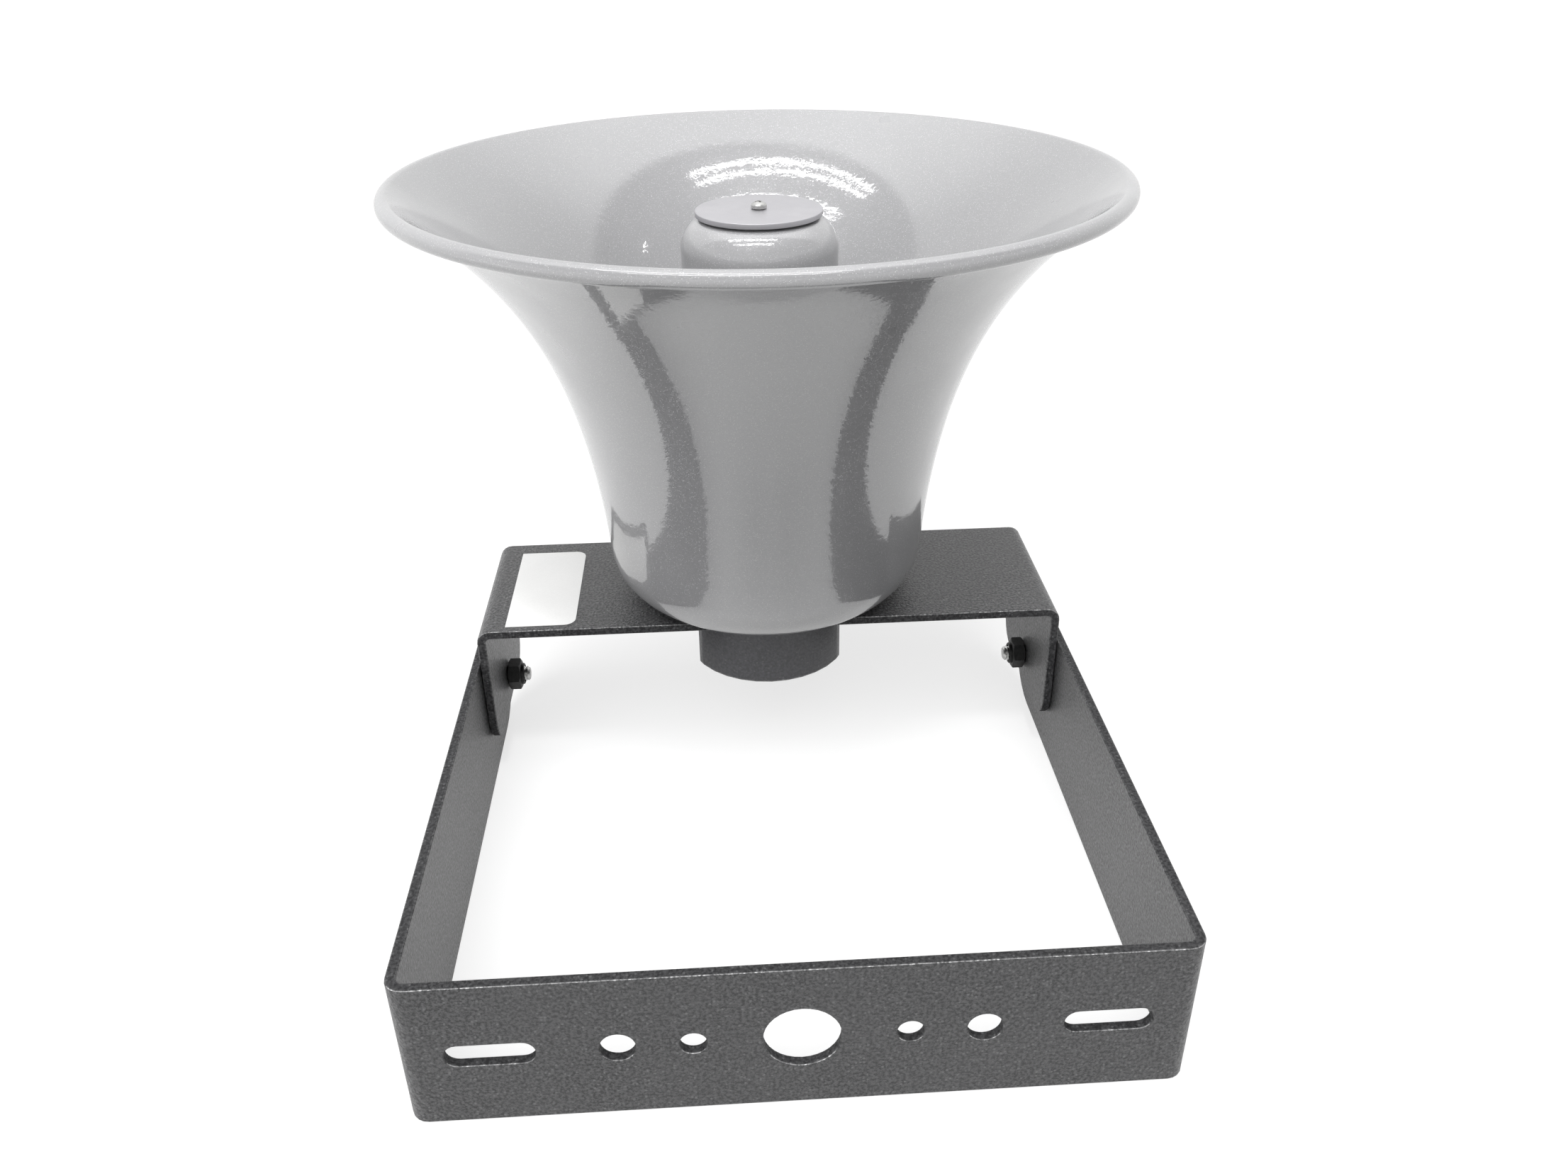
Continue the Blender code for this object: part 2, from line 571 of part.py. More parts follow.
def reflector_spider(horn):
    """A ring on the tube's end with a skirt in its bore, fins and the post that holds the bullet."""
    ring_top = SPIDER_BOTTOM + SPIDER_RING
    skirt = TUBE_BORE / 2 - CLEARANCE
    inside = skirt - SPIDER_WALL
    skirt_bottom = SPIDER_BOTTOM - SPIDER_SKIRT
    profile = [(inside, ring_top), (TUBE_DIAMETER / 2, ring_top), (TUBE_DIAMETER / 2, SPIDER_BOTTOM)]
    profile += [(skirt, SPIDER_BOTTOM), (skirt, skirt_bottom), (inside, skirt_bottom)]
    spider = add_part("reflector_spider", turned("reflector_spider", profile, INNER_STEPS), CAST_ALLOY, horn)
    fin_reach = inside + SPIDER_WALL / 2
    fin_top = ring_top - FIN_INSET
    fin_bottom = fin_top - FIN_HEIGHT
    for i in range(FIN_COUNT):
        turn = math.tau * i / FIN_COUNT
        reach = fin_reach / 2
        middle = (reach * math.cos(turn), reach * math.sin(turn), (fin_top + fin_bottom) / 2)
        fin = box("fin", (fin_reach, FIN_THICKNESS, FIN_HEIGHT))
        combine(spider, fin, "UNION", middle, (0, 0, turn))
    post = rod("post", POST_DIAMETER / 2, fin_bottom - FIN_INSET, POST_TOP, SMALL_STEPS)
    combine(spider, post, "UNION")
    hole = rod("post_hole", SCREW_HOLE, POST_TOP - SCREW_DEPTH - CLEARANCE, POST_TOP + OVERCUT, SMALL_STEPS)
    combine(spider, hole)


def driver_shell(horn):
    outside = HUB_DIAMETER / 2
    gasket_bottom = DRIVER_GASKET_TOP - DRIVER_GASKET_THICKNESS
    gasket = ring("driver_gasket", HUB_FLATS / 2, SPIGOT_HOLE, gasket_bottom, DRIVER_GASKET_TOP, INNER_STEPS)
    add_part("driver_gasket", gasket, BLACK_RUBBER, horn)

    groove = HUB_BORE + GROOVE_DEPTH
    groove_top, groove_bottom = RING_TOP + CLEARANCE / 2, RING_BOTTOM - CLEARANCE
    profile = [(SPIGOT_HOLE, HUB_TOP), (outside - HUB_CHAMFER, HUB_TOP), (outside, HUB_TOP - HUB_CHAMFER)]
    profile += [(outside, HUB_BOTTOM + HUB_CHAMFER), (outside - HUB_CHAMFER, HUB_BOTTOM)]
    profile += [(HUB_BORE, HUB_BOTTOM), (HUB_BORE, groove_bottom), (groove, groove_bottom)]
    profile += [(groove, groove_top), (HUB_BORE, groove_top)]
    profile += [(HUB_BORE, HUB_TOP - HUB_ROOF), (SPIGOT_HOLE, HUB_TOP - HUB_ROOF)]
    cup = turned("driver_housing", profile, ROUND_STEPS)
    housing = add_part("driver_housing", cup, CHARCOAL_COAT, horn)
    height = HUB_TOP - HUB_BOTTOM + OVERCUT
    for side in (-1, 1):
        flat = box("wrench_flat", (HUB_DIAMETER, 2 * HUB_DIAMETER, height))
        place = (side * (HUB_FLATS / 2 + HUB_DIAMETER / 2), 0, (HUB_TOP + HUB_BOTTOM) / 2)
        combine(housing, flat, location=place)

    ring_outside = groove - CLEARANCE
    ring_inside = ring_outside - RETAINING_RING_WIDTH
    band = ring("retaining_ring", ring_outside, ring_inside, RING_BOTTOM, RING_TOP, INNER_STEPS)
    snap_ring = add_part("retaining_ring", band, BLACK_STEEL, horn)
    opening = box("ring_opening", (RETAINING_RING_GAP, HUB_DIAMETER, HUB_ROOF))
    combine(snap_ring, opening, location=(0, HUB_DIAMETER / 2, RING_TOP))

    cover = rod("back_cover", FILLED_BORE, COVER_BOTTOM, COVER_TOP, INNER_STEPS)
    back_cover = add_part("back_cover", cover, BLACK_PLASTIC, horn)
    for side, name in ((-1, "left"), (1, "right")):
        terminal(horn, back_cover, side * TERMINAL_SPACING / 2, name)


def terminal(horn, back_cover, x, name):
    """An insulating bush through the back cover and the brass screw in it."""
    place = (x, 0, 0)
    bush_radius = BUSH_DIAMETER / 2
    hole = rod("bush_hole", bush_radius + CLEARANCE, COVER_BOTTOM - OVERCUT, COVER_TOP + OVERCUT, SMALL_STEPS)
    combine(back_cover, hole, location=place)
    flange_top = COVER_BOTTOM - CLEARANCE
    flange_bottom = flange_top - BUSH_FLANGE_THICKNESS
    bore = TERMINAL_DIAMETER / 2 + CLEARANCE
    flange = BUSH_FLANGE_DIAMETER / 2
    profile = [(bore, COVER_TOP), (bush_radius, COVER_TOP), (bush_radius, flange_top), (flange, flange_top)]
    profile += [(flange, flange_bottom), (bore, flange_bottom)]
    add_part(f"terminal_bush_{name}", turned("bush", profile, SMALL_STEPS), BLACK_PLASTIC, horn, place)
    head_top = flange_bottom - CLEARANCE
    head_bottom = head_top - TERMINAL_HEAD_HEIGHT
    shank, head = TERMINAL_DIAMETER / 2, TERMINAL_HEAD_DIAMETER / 2
    profile = [(0, COVER_TOP), (shank, COVER_TOP), (shank, head_top), (head, head_top)]
    profile += [(head, head_bottom), (0, head_bottom)]
    add_part(f"terminal_screw_{name}", turned("terminal", profile, SMALL_STEPS), BRASS, horn, place)


def dome(base_height):
    """Points of a shallow dome over the voice coil, from its middle out to its foot."""
    radius = (COIL_OUTSIDE**2 + DOME_HEIGHT**2) / (2 * DOME_HEIGHT)
    spread = math.degrees(math.asin(COIL_OUTSIDE / radius))
    points = arc((0, base_height + DOME_HEIGHT - radius), radius, 90, 90 - spread, CORNER_POINTS)
    return [(0, points[0][1])] + points[1:]


def driver_motor(horn, travel_axis):
    """Phase plug, clamp ring, diaphragm with its voice coil, and the magnet system below it."""
    lift = DIAPHRAGM_BOTTOM + DIAPHRAGM_THICKNESS + TRAVEL + COIL_GAP
    throat = THROAT_DIAMETER / 2 - CLEARANCE
    tip = PLUG_TIP_DIAMETER / 2
    tip_height = PLUG_TOP + PLUG_TIP_HEIGHT
    hollow = dome(lift)
    profile = [(0, tip_height), (tip, tip_height), (throat, PLUG_TOP), (FILLED_BORE, PLUG_TOP)]
    profile += [(FILLED_BORE, PLUG_BOTTOM), (CLAMP_INSIDE, PLUG_BOTTOM), (CLAMP_INSIDE, lift)]
    profile += list(reversed(hollow))
    plug = add_part("phase_plug", turned("phase_plug", profile, INNER_STEPS), BLACK_PLASTIC, horn)
    slot_end = throat - COIL_GAP
    for i in range(PLUG_SLOT_COUNT):
        turn = math.tau * i / PLUG_SLOT_COUNT
        middle = (slot_end + PLUG_SLOT_START) / 2
        slot = box("plug_slot", (slot_end - PLUG_SLOT_START, PLUG_SLOT_WIDTH, 2 * (tip_height - PLUG_BOTTOM)))
        place = (middle * math.cos(turn), middle * math.sin(turn), PLUG_TOP)
        combine(plug, slot, location=place, rotation=(0, 0, turn))

    clamp = ring("clamp_ring", FILLED_BORE, CLAMP_INSIDE, CLAMP_BOTTOM, CLAMP_TOP, INNER_STEPS)
    add_part("clamp_ring", clamp, CAST_ALLOY, horn)

    edge = CLAMP_INSIDE - COIL_GAP
    top = dome(DIAPHRAGM_BOTTOM + DIAPHRAGM_THICKNESS)
    under = dome(DIAPHRAGM_BOTTOM)
    profile = top + [(edge, DIAPHRAGM_BOTTOM + DIAPHRAGM_THICKNESS), (edge, DIAPHRAGM_BOTTOM)]
    profile += list(reversed(under))
    add_part("diaphragm", turned("diaphragm", profile, INNER_STEPS), AMBER_FILM, travel_axis)
    coil_top = DIAPHRAGM_BOTTOM - CLEARANCE
    coil = ring("voice_coil", COIL_OUTSIDE, COIL_INSIDE, coil_top - COIL_HEIGHT, coil_top, INNER_STEPS)
    add_part("voice_coil", coil, COPPER, travel_axis)

    plate = ring("top_plate", MOTOR_RADIUS, PLATE_BORE, TOP_PLATE_BOTTOM, TOP_PLATE_TOP, INNER_STEPS)
    add_part("top_plate", plate, ZINC_STEEL, horn)
    magnet_inside = MOTOR_RADIUS - MAGNET_WALL
    magnet = ring("magnet_ring", MOTOR_RADIUS, magnet_inside, MAGNET_BOTTOM, MAGNET_TOP, INNER_STEPS)
    add_part("magnet_ring", magnet, FERRITE, horn)
    profile = [(0, TOP_PLATE_TOP), (POLE_RADIUS, TOP_PLATE_TOP), (POLE_RADIUS, POLE_PLATE_TOP)]
    profile += [(MOTOR_RADIUS, POLE_PLATE_TOP), (MOTOR_RADIUS, POLE_PLATE_BOTTOM), (0, POLE_PLATE_BOTTOM)]
    add_part("pole_piece", turned("pole_piece", profile, INNER_STEPS), ZINC_STEEL, horn)


clear_scene()
parts = new_collection("horn_loudspeaker")
cutters = new_collection("cutters")
tilt_axis = new_empty("horn_tilt_axis", (0, PIVOT_Y, PIVOT_Z))
travel_axis = new_empty("diaphragm_axis", (0, 0, 0), tilt_axis)
mounting_bracket()
pivot_hardware(-1, "left")
pivot_hardware(1, "right")
horn_yoke(tilt_axis)
horn_parts(tilt_axis)
driver_shell(tilt_axis)
driver_motor(tilt_axis, travel_axis)
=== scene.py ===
"""Looks of the paging horn: fine shapes, finishes, floor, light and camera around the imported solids.

Metres, in the frame of the solids: +X along the tilt axis, +Z up, the camera on the -Y side.
"""
import math

import bmesh
import bpy
from mathutils import Matrix, Vector


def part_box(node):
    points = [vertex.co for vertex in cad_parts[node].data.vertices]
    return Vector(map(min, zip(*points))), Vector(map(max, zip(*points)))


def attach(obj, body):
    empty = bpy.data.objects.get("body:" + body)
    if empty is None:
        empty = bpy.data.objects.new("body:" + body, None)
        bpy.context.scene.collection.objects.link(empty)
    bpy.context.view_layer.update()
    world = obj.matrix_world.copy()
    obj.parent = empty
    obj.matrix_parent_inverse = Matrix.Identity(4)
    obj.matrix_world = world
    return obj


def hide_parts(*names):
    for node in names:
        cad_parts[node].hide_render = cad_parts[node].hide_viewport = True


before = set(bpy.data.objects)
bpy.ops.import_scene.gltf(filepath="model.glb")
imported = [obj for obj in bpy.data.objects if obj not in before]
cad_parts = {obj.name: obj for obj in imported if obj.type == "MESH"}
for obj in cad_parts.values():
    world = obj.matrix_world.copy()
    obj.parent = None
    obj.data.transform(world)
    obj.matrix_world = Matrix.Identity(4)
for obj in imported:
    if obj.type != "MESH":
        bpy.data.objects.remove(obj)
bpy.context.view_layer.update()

# Bell, as in the solid but for its foot's taper: a flared wall that rolls outwards into a bead
RIM_DIAMETER = 0.246
RIM_HEIGHT = 0.1568
BEAD_RADIUS = 0.0028
BELL_WALL = 0.0016
BELL_BASE_DIAMETER = 0.1226
BELL_CORNER_RADIUS = 0.020
BELL_STRAIGHT = 0.009
FOOT_TAPER = 0.0008
FLARE_LENGTH = 0.0505
SPIGOT_HOLE = 0.01775
BEAD_SEGMENTS = 40
FLARE_SEGMENTS = 64
CORNER_SEGMENTS = 20

# Bullet and cap disc
BULLET_WALL = 0.0015
BULLET_SHOULDER_RADIUS = 0.012
SHOULDER_SEGMENTS = 24
SCREW_HOLE = 0.0018
DISC_EDGE = 0.0003
DISC_LIP = 0.0008
DISC_LIP_WIDTH = 0.0012
DISC_LIP_ROOT = 0.0018

# Cap screw, with a dome that ends short of its side, and a cross recess
SCREW_RADIUS = 0.0015
DOME_INSET = 0.0003
DOME_DROP = 0.0004
SCREW_FOOT_EDGE = 0.0001
RECESS_LENGTH = 0.0031
RECESS_WIDTH = 0.0008
RECESS_DEPTH = 0.0013
RECESS_TURN = 25

# Cutting bars: their height above the face they cut, and their share of the full size there and below
BAR_PROUD = 0.0005
BAR_TOP_SHARE = 1.12
BAR_BOTTOM_SHARE = 0.6

# Screw and bolt heads stand this far off what they hold
HEAD_GAP = 0.0003

# Pivot hardware
BOLT_RADIUS = 0.003175
THREAD_PITCH = 0.00127
THREAD_DEPTH = 0.0007
THREAD_END_CHAMFER = 0.0009
THREAD_ROWS = 130
THREAD_STEPS = 40
HEX_FLATS = 0.0111
HEX_FACE_SHARE = 0.95
HEX_CHAMFER = math.tan(math.radians(30))
HEX_STEPS = 72
HEX_SHARP_ANGLE = 40
NUT_HEX_HEIGHT = 0.0052
NUT_COLLAR_RADIUS = 0.0044
NUT_COLLAR_EDGE = 0.0006
NUT_COLLAR_OVERLAP = 0.001
SHANK_HOLE = 0.003475
WASHER_EDGE = 0.0003

# Terminal screws
TERMINAL_RADIUS = 0.0013
TERMINAL_HEAD_HEIGHT = 0.002
TERMINAL_HEAD_EDGE = 0.0006
TERMINAL_SLOT_WIDTH = 0.0009
TERMINAL_SLOT_DEPTH = 0.0009

# Blank sticker on the yoke's plate
LABEL_X = (-0.1002, -0.0740)
LABEL_Y = (0.0029, 0.0620)
LABEL_CORNER_RADIUS = 0.0042
LABEL_GAP = 0.00002
LABEL_THICKNESS = 0.00016

# Sheet metal: softened edges, how far an edge faces front and up to take a painted highlight, and the
# base's holes
SHEET_EDGE = 0.00045
HUB_EDGE = 0.0004
EDGE_SEGMENTS = 3
SHEET_SHARP_ANGLE = 50
HIGHLIGHT_FACING = 0.35
BASE_DEPTH = 0.004
HOLES_REACH = 0.106

# Camera
CAMERA_PLACE = (-0.017012, -0.414846, 0.316115)
CAMERA_RIGHT = (0.99813, -0.05991, -0.01212)
CAMERA_DOWN = (-0.03997, -0.48972, -0.87092)
CAMERA_FORWARD = (0.04624, 0.86982, -0.49120)
CAMERA_LENS = 29.354
CAMERA_CLIP_START = 0.01
SENSOR_WIDTH = 36.0

# Floor: its tone and the light added to it, as the camera sees it and as gloss mirrors it
FLOOR_TONE = 0.34
FLOOR_LIFT = 0.70
MIRRORED_FLOOR_TONE = 0.40
MIRRORED_FLOOR_LIFT = 0.44
FLOOR_SIZE = 10
FLOOR_MIDDLE = (0, 4, -0.0002)

# Twice the sine of half the tilt: the floor is whole up to the first value and gone from the second
FLOOR_GAP_TURN = (1.0, 1.04)

# World: the front grows dimmer with height and the ceiling brighter, on two sides of a tilted plane
FRONT_HEIGHTS = (0.2, 0.55)
FRONT_TONES = (1.0, 0.52)
CEILING_HEIGHTS = (0.6, 0.9)
CEILING_TONES = (1.0, 1.6)
CEILING_SIDE = (0, 1, 0.42)
CEILING_SIDE_EDGE = (0.31, 0.36)
DIFFUSE_SHARE = 0.36

# Lamps: powers in watts, the wash's in watts per square metre, angles in degrees
TUBE_FITTINGS = ((-0.39, -0.24, -6), (-0.96, -0.80, -4))
TUBE_X = -0.3
TUBE_HEIGHT = 2.0
TUBE_SIZE = (1.7, 0.036)
TUBE_POWER = 2.8
WASH_POWER = 3.4
WASH_WIDTH = 64
WASH_TURN = (28, -12, 0)
WINDOW_PLACE = (-1.3, -0.35, 0.16)
WINDOW_AIM = (0, 0, 0.12)
WINDOW_SIZE = (0.6, 0.3)
WINDOW_POWER = 5.0
MOUTH_LAMP_PLACE = (0, -0.6, 1.58)
MOUTH_LAMP_POWER = 65.0
MOUTH_LAMP_CONE = 10
MOUTH_LAMP_BLEND = 0.4
MOUTH_LAMP_RADIUS = 0.15
SMALL_LAMP_PLACE = (1.57, -0.56, 1.55)
SMALL_LAMP_POWER = 0.6
SMALL_LAMP_RADIUS = 0.02

# Meshing
FINE_STEPS = 192
ROUND_STEPS = 96
SMALL_STEPS = 48
SHARP_ANGLE = 35

bell_low, bell_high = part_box("bell")
bolt_low, bolt_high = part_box("pivot_bolt_left")
HORN_AXIS = Vector(((bell_low.x + bell_high.x) / 2, (bell_low.y + bell_high.y) / 2, 0))
PIVOT = Vector((0, HORN_AXIS.y, (bolt_low.z + bolt_high.z) / 2))
BASE_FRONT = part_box("mounting_bracket")[0].y


def add_piece(name, mesh, finishes, body, node=None):
    """A piece that rides on a body, and stands for a solid's node where one is named."""
    piece = bpy.data.objects.new(name, mesh)
    bpy.context.scene.collection.objects.link(piece)
    for finish in finishes:
        mesh.materials.append(finish)
    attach(piece, body)
    if node:
        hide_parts(node)
    return piece


def to_mesh(name, work, sharp=SHARP_ANGLE):
    bmesh.ops.recalc_face_normals(work, faces=work.faces)
    mesh = bpy.data.meshes.new(name)
    work.to_mesh(mesh)
    work.free()
    mesh.shade_smooth()
    mesh.set_sharp_from_angle(angle=math.radians(sharp))
    return mesh


def arc(centre, radius, start, end, segments):
    """Points of an arc, its angles in degrees."""
    angles = [math.radians(start + (end - start) * i / segments) for i in range(segments + 1)]
    return [(centre[0] + radius * math.cos(a), centre[1] + radius * math.sin(a)) for a in angles]


def swept(work, section, steps, place):
    """Sections of (radius, height) points round an axis, joined side to side and set in place."""
    rows = []
    for i in range(steps):
        angle = math.tau * i / steps
        rows.append([(r * math.cos(angle), r * math.sin(angle), h) for r, h in section(angle)])
    count = len(rows[0])
    on_axis = [all(math.hypot(row[k][0], row[k][1]) < 1e-9 for row in rows) for k in range(count)]
    shared = [work.verts.new(place @ Vector(rows[0][k])) if on_axis[k] else None for k in range(count)]
    verts = []
    for row in rows:
        verts.append([shared[k] or work.verts.new(place @ Vector(row[k])) for k in range(count)])
    last = count - 1 if any(on_axis) else count
    for row, after in zip(verts, verts[1:] + verts[:1]):
        for k in range(last):
            nxt = (k + 1) % count
            corners = list(dict.fromkeys((row[k], after[k], after[nxt], row[nxt])))
            work.faces.new(corners)


def turned(name, profile, steps, place=Matrix.Translation(HORN_AXIS)):
    work = bmesh.new()
    swept(work, lambda angle: profile, steps, place)
    return to_mesh(name, work)


def carved(mesh, tool):
    """The mesh with the tool's shape cut from it."""
    target, cutter = bpy.data.objects.new("target", mesh), bpy.data.objects.new("cutter", tool)
    for obj in (target, cutter):
        bpy.context.scene.collection.objects.link(obj)
    boolean = target.modifiers.new("cut", "BOOLEAN")
    boolean.operation = "DIFFERENCE"
    boolean.solver = "EXACT"
    boolean.object = cutter
    depsgraph = bpy.context.evaluated_depsgraph_get()
    result = bpy.data.meshes.new_from_object(target.evaluated_get(depsgraph))
    for obj in (target, cutter):
        bpy.data.objects.remove(obj, do_unlink=True)
    result.shade_smooth()
    result.set_sharp_from_angle(angle=math.radians(SHARP_ANGLE))
    return result


def softened(node, width, is_cut=None):
    """A copy of a solid with its sharp edges rounded over, which take material 1.

    A sheet's cut faces take material 2, and only its edges that face front and up keep material 1, a
    lighter colour that paints the highlight those edges catch from the lamps above and in front.
    """
    work = bmesh.new()
    work.from_mesh(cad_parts[node].data)
    bmesh.ops.remove_doubles(work, verts=work.verts, dist=1e-6)
    bmesh.ops.dissolve_limit(work, angle_limit=math.radians(1), verts=work.verts, edges=work.edges)
    least = math.radians(SHARP_ANGLE)
    sharp = [e for e in work.edges if e.is_manifold and e.calc_face_angle() > least]
    bmesh.ops.bevel(
        work, geom=sharp, offset=width, segments=EDGE_SEGMENTS, profile=0.5, affect="EDGES",
        clamp_overlap=False, material=1,
    )
    for face in work.faces if is_cut else ():
        if face.material_index == 1:
            # Edges that face front and up take the lighter edge finish, a painted highlight; the others
            # take the plain coat
            face.material_index = int(face.normal.y < -HIGHLIGHT_FACING and face.normal.z > HIGHLIGHT_FACING)
        elif is_cut(face.calc_center_median(), face.normal):
            face.material_index = 2
    return to_mesh(f"{node}_soft", work, SHEET_SHARP_ANGLE)


def keep_flats_flat(piece):
    weighted = piece.modifiers.new("flat_normals", "WEIGHTED_NORMAL")
    weighted.keep_sharp = True
    weighted.weight = 100


# Nodes


def material(name, **constants):
    """A new material, its node tree and its shader with the constant values set."""
    finish = bpy.data.materials.new(name)
    finish.use_nodes = True
    tree = finish.node_tree
    shader = tree.nodes["Principled BSDF"]
    for socket, value in constants.items():
        shader.inputs[socket.replace("_", " ").replace("Ior", "IOR")].default_value = value
    return finish, tree, shader


def add(tree, kind, inputs=(), **settings):
    """A new node with its settings. Inputs are (socket, value or output) pairs."""
    node = tree.nodes.new(kind)
    for name, value in settings.items():
        setattr(node, name, value)
    for socket, value in inputs:
        if isinstance(value, bpy.types.NodeSocket):
            tree.links.new(value, node.inputs[socket])
        else:
            node.inputs[socket].default_value = value
    return node


def place_on_object(tree):
    return add(tree, "ShaderNodeTexCoord").outputs["Object"]


def noise(tree, where, scale, detail, rough=0.5):
    inputs = [("Vector", where), ("Scale", scale), ("Detail", detail), ("Roughness", rough)]
    return add(tree, "ShaderNodeTexNoise", inputs).outputs["Fac"]


def spread(tree, value, low, high, to_low=0.0, to_high=1.0):
    """A value's range from low to high, mapped to another range."""
    inputs = [("Value", value), ("From Min", low), ("From Max", high)]
    inputs += [("To Min", to_low), ("To Max", to_high)]
    return add(tree, "ShaderNodeMapRange", inputs).outputs["Result"]


def mottling(tree, where, scale, detail=3, rough=0.5):
    """Noise with most of its range spread from 0 to 1."""
    return spread(tree, noise(tree, where, scale, detail, rough), 0.3, 0.7)


def combine(tree, a, b, operation="MULTIPLY"):
    return add(tree, "ShaderNodeMath", [(0, a), (1, b)], operation=operation).outputs["Value"]


def vectors(tree, operation, *inputs):
    return add(tree, "ShaderNodeVectorMath", enumerate(inputs), operation=operation).outputs


def between(tree, factor, a, b):
    return add(tree, "ShaderNodeMix", [("Factor", factor), (2, a), (3, b)]).outputs[0]


def blend(tree, factor, a, b):
    """A colour between two others."""
    inputs = [("Factor", factor), (6, a), (7, b)]
    return add(tree, "ShaderNodeMix", inputs, data_type="RGBA").outputs[2]


def bump(tree, height, distance, strength, under=None):
    inputs = [("Height", height), ("Distance", distance), ("Strength", strength)]
    if under:
        inputs.append(("Normal", under))
    return add(tree, "ShaderNodeBump", inputs).outputs["Normal"]


def flecks(tree, where, scale, share, size):
    """Small specks in some of the cells of a random pattern."""
    cell = add(tree, "ShaderNodeTexVoronoi", [("Vector", where), ("Scale", scale)])
    chance = add(tree, "ShaderNodeSeparateColor", [("Color", cell.outputs["Color"])]).outputs[0]
    chosen = spread(tree, chance, 1 - share, 1 - share / 2)
    near = spread(tree, cell.outputs["Distance"], size, size * 0.5)
    return combine(tree, chosen, near)


def join(tree, shader, **sources):
    for socket, output in sources.items():
        tree.links.new(output, shader.inputs[socket.replace("_", " ")])


def grey(value, tint=0.0):
    """A grey, made bluer by its tint."""
    return (value, value, value + tint, 1.0)


# Finishes

ROUGHNESS_RANGE = 0.12


def enamel():
    """Stoved grey enamel: glossy, a slight orange peel, and fine pale flecks."""
    finish, tree, shader = material(
        "grey_enamel", Coat_Weight=1.0, Coat_Roughness=0.03, Coat_Ior=2.2, Specular_Ior_Level=0.5,
    )
    where = place_on_object(tree)
    base = blend(tree, mottling(tree, where, 14), grey(0.23, 0.006), grey(0.26, 0.007))
    grain = spread(tree, noise(tree, where, 2600, 2), 0.35, 0.65)
    base = blend(tree, combine(tree, grain, 0.3), base, grey(0.36, 0.006))
    specks = flecks(tree, where, 2300, share=0.32, size=0.42)
    colour = blend(tree, combine(tree, specks, 0.6), base, grey(0.55, 0.009))
    peel = bump(tree, noise(tree, where, 420, 3, 0.55), 0.0003, 0.15)
    fine = bump(tree, specks, 0.00004, 0.5, peel)
    roughness = spread(tree, noise(tree, where, 40, 3), 0.3, 0.7, 0.26, 0.4)
    join(tree, shader, Base_Color=colour, Roughness=roughness, Normal=fine, Coat_Normal=fine)
    return finish


def powder_coat(name, dark, light, speck, rough, relief, gloss, share=0.3, specular=0.5, cool=1.0):
    """Charcoal powder coat with a sandy grain under a satin skin."""
    finish, tree, shader = material(
        name, Coat_Weight=gloss, Coat_Roughness=0.22, Specular_Ior_Level=specular,
    )
    where = place_on_object(tree)
    low, high = grey(dark, 0.001 * cool), grey(light, 0.002 * cool)
    sand = noise(tree, where, 1000, 3, 0.6)
    base = blend(tree, spread(tree, sand, 0.4, 0.6), low, high)
    base = blend(tree, combine(tree, mottling(tree, where, 30), 0.25), base, high)
    grit = flecks(tree, where, 900, share, size=0.45)
    colour = blend(tree, combine(tree, grit, 0.6), base, grey(speck, 0.003))
    lumps = bump(tree, sand, 0.0005, relief)
    fine = bump(tree, noise(tree, where, 2400, 2), 0.0002, relief * 0.7, lumps)
    skin = bump(tree, sand, 0.0005, relief * 0.35)
    roughness = spread(tree, sand, 0.35, 0.65, rough + ROUGHNESS_RANGE, rough)
    join(tree, shader, Base_Color=colour, Roughness=roughness, Normal=fine, Coat_Normal=skin)
    return finish


def metal(name, dark, light, rough, grain=900, relief=0.08, metallic=1.0):
    """Plated, cast or turned metal with a mottled tone and small handling marks."""
    finish, tree, shader = material(name, Metallic=metallic)
    where = place_on_object(tree)
    tone = mottling(tree, where, grain, rough=0.6)
    cloud = mottling(tree, where, grain / 12, detail=2)
    base = blend(tree, tone, dark, light)
    colour = blend(tree, combine(tree, cloud, 0.35), base, dark)
    roughness = spread(tree, tone, 0.0, 1.0, rough + ROUGHNESS_RANGE, rough)
    marks = bump(tree, tone, 0.0001, relief)
    join(tree, shader, Base_Color=colour, Roughness=roughness, Normal=marks)
    return finish


def spun_metal():
    """Bare aluminium, brushed in rings about the horn's axis."""
    finish, tree, shader = material("spun_aluminium", Metallic=0.85)
    where = place_on_object(tree)
    middle = vectors(tree, "ADD", where, (-HORN_AXIS.x, -HORN_AXIS.y, 0))[0]
    flat = vectors(tree, "MULTIPLY", middle, (1, 1, 0))[0]
    radius = vectors(tree, "LENGTH", flat)["Value"]
    inputs = [("W", radius), ("Scale", 6500), ("Detail", 2)]
    rings = add(tree, "ShaderNodeTexNoise", inputs, noise_dimensions="1D").outputs["Fac"]
    lines = spread(tree, rings, 0.3, 0.7)
    cloud = mottling(tree, where, 90)
    base = blend(tree, lines, (0.51, 0.505, 0.525, 1), (0.61, 0.6, 0.625, 1))
    colour = blend(tree, combine(tree, cloud, 0.3), base, (0.48, 0.475, 0.5, 1))
    roughness = spread(tree, cloud, 0, 1, 0.34, 0.46)
    brushing = bump(tree, lines, 0.00005, 0.25)
    join(tree, shader, Base_Color=colour, Roughness=roughness, Normal=brushing)
    return finish


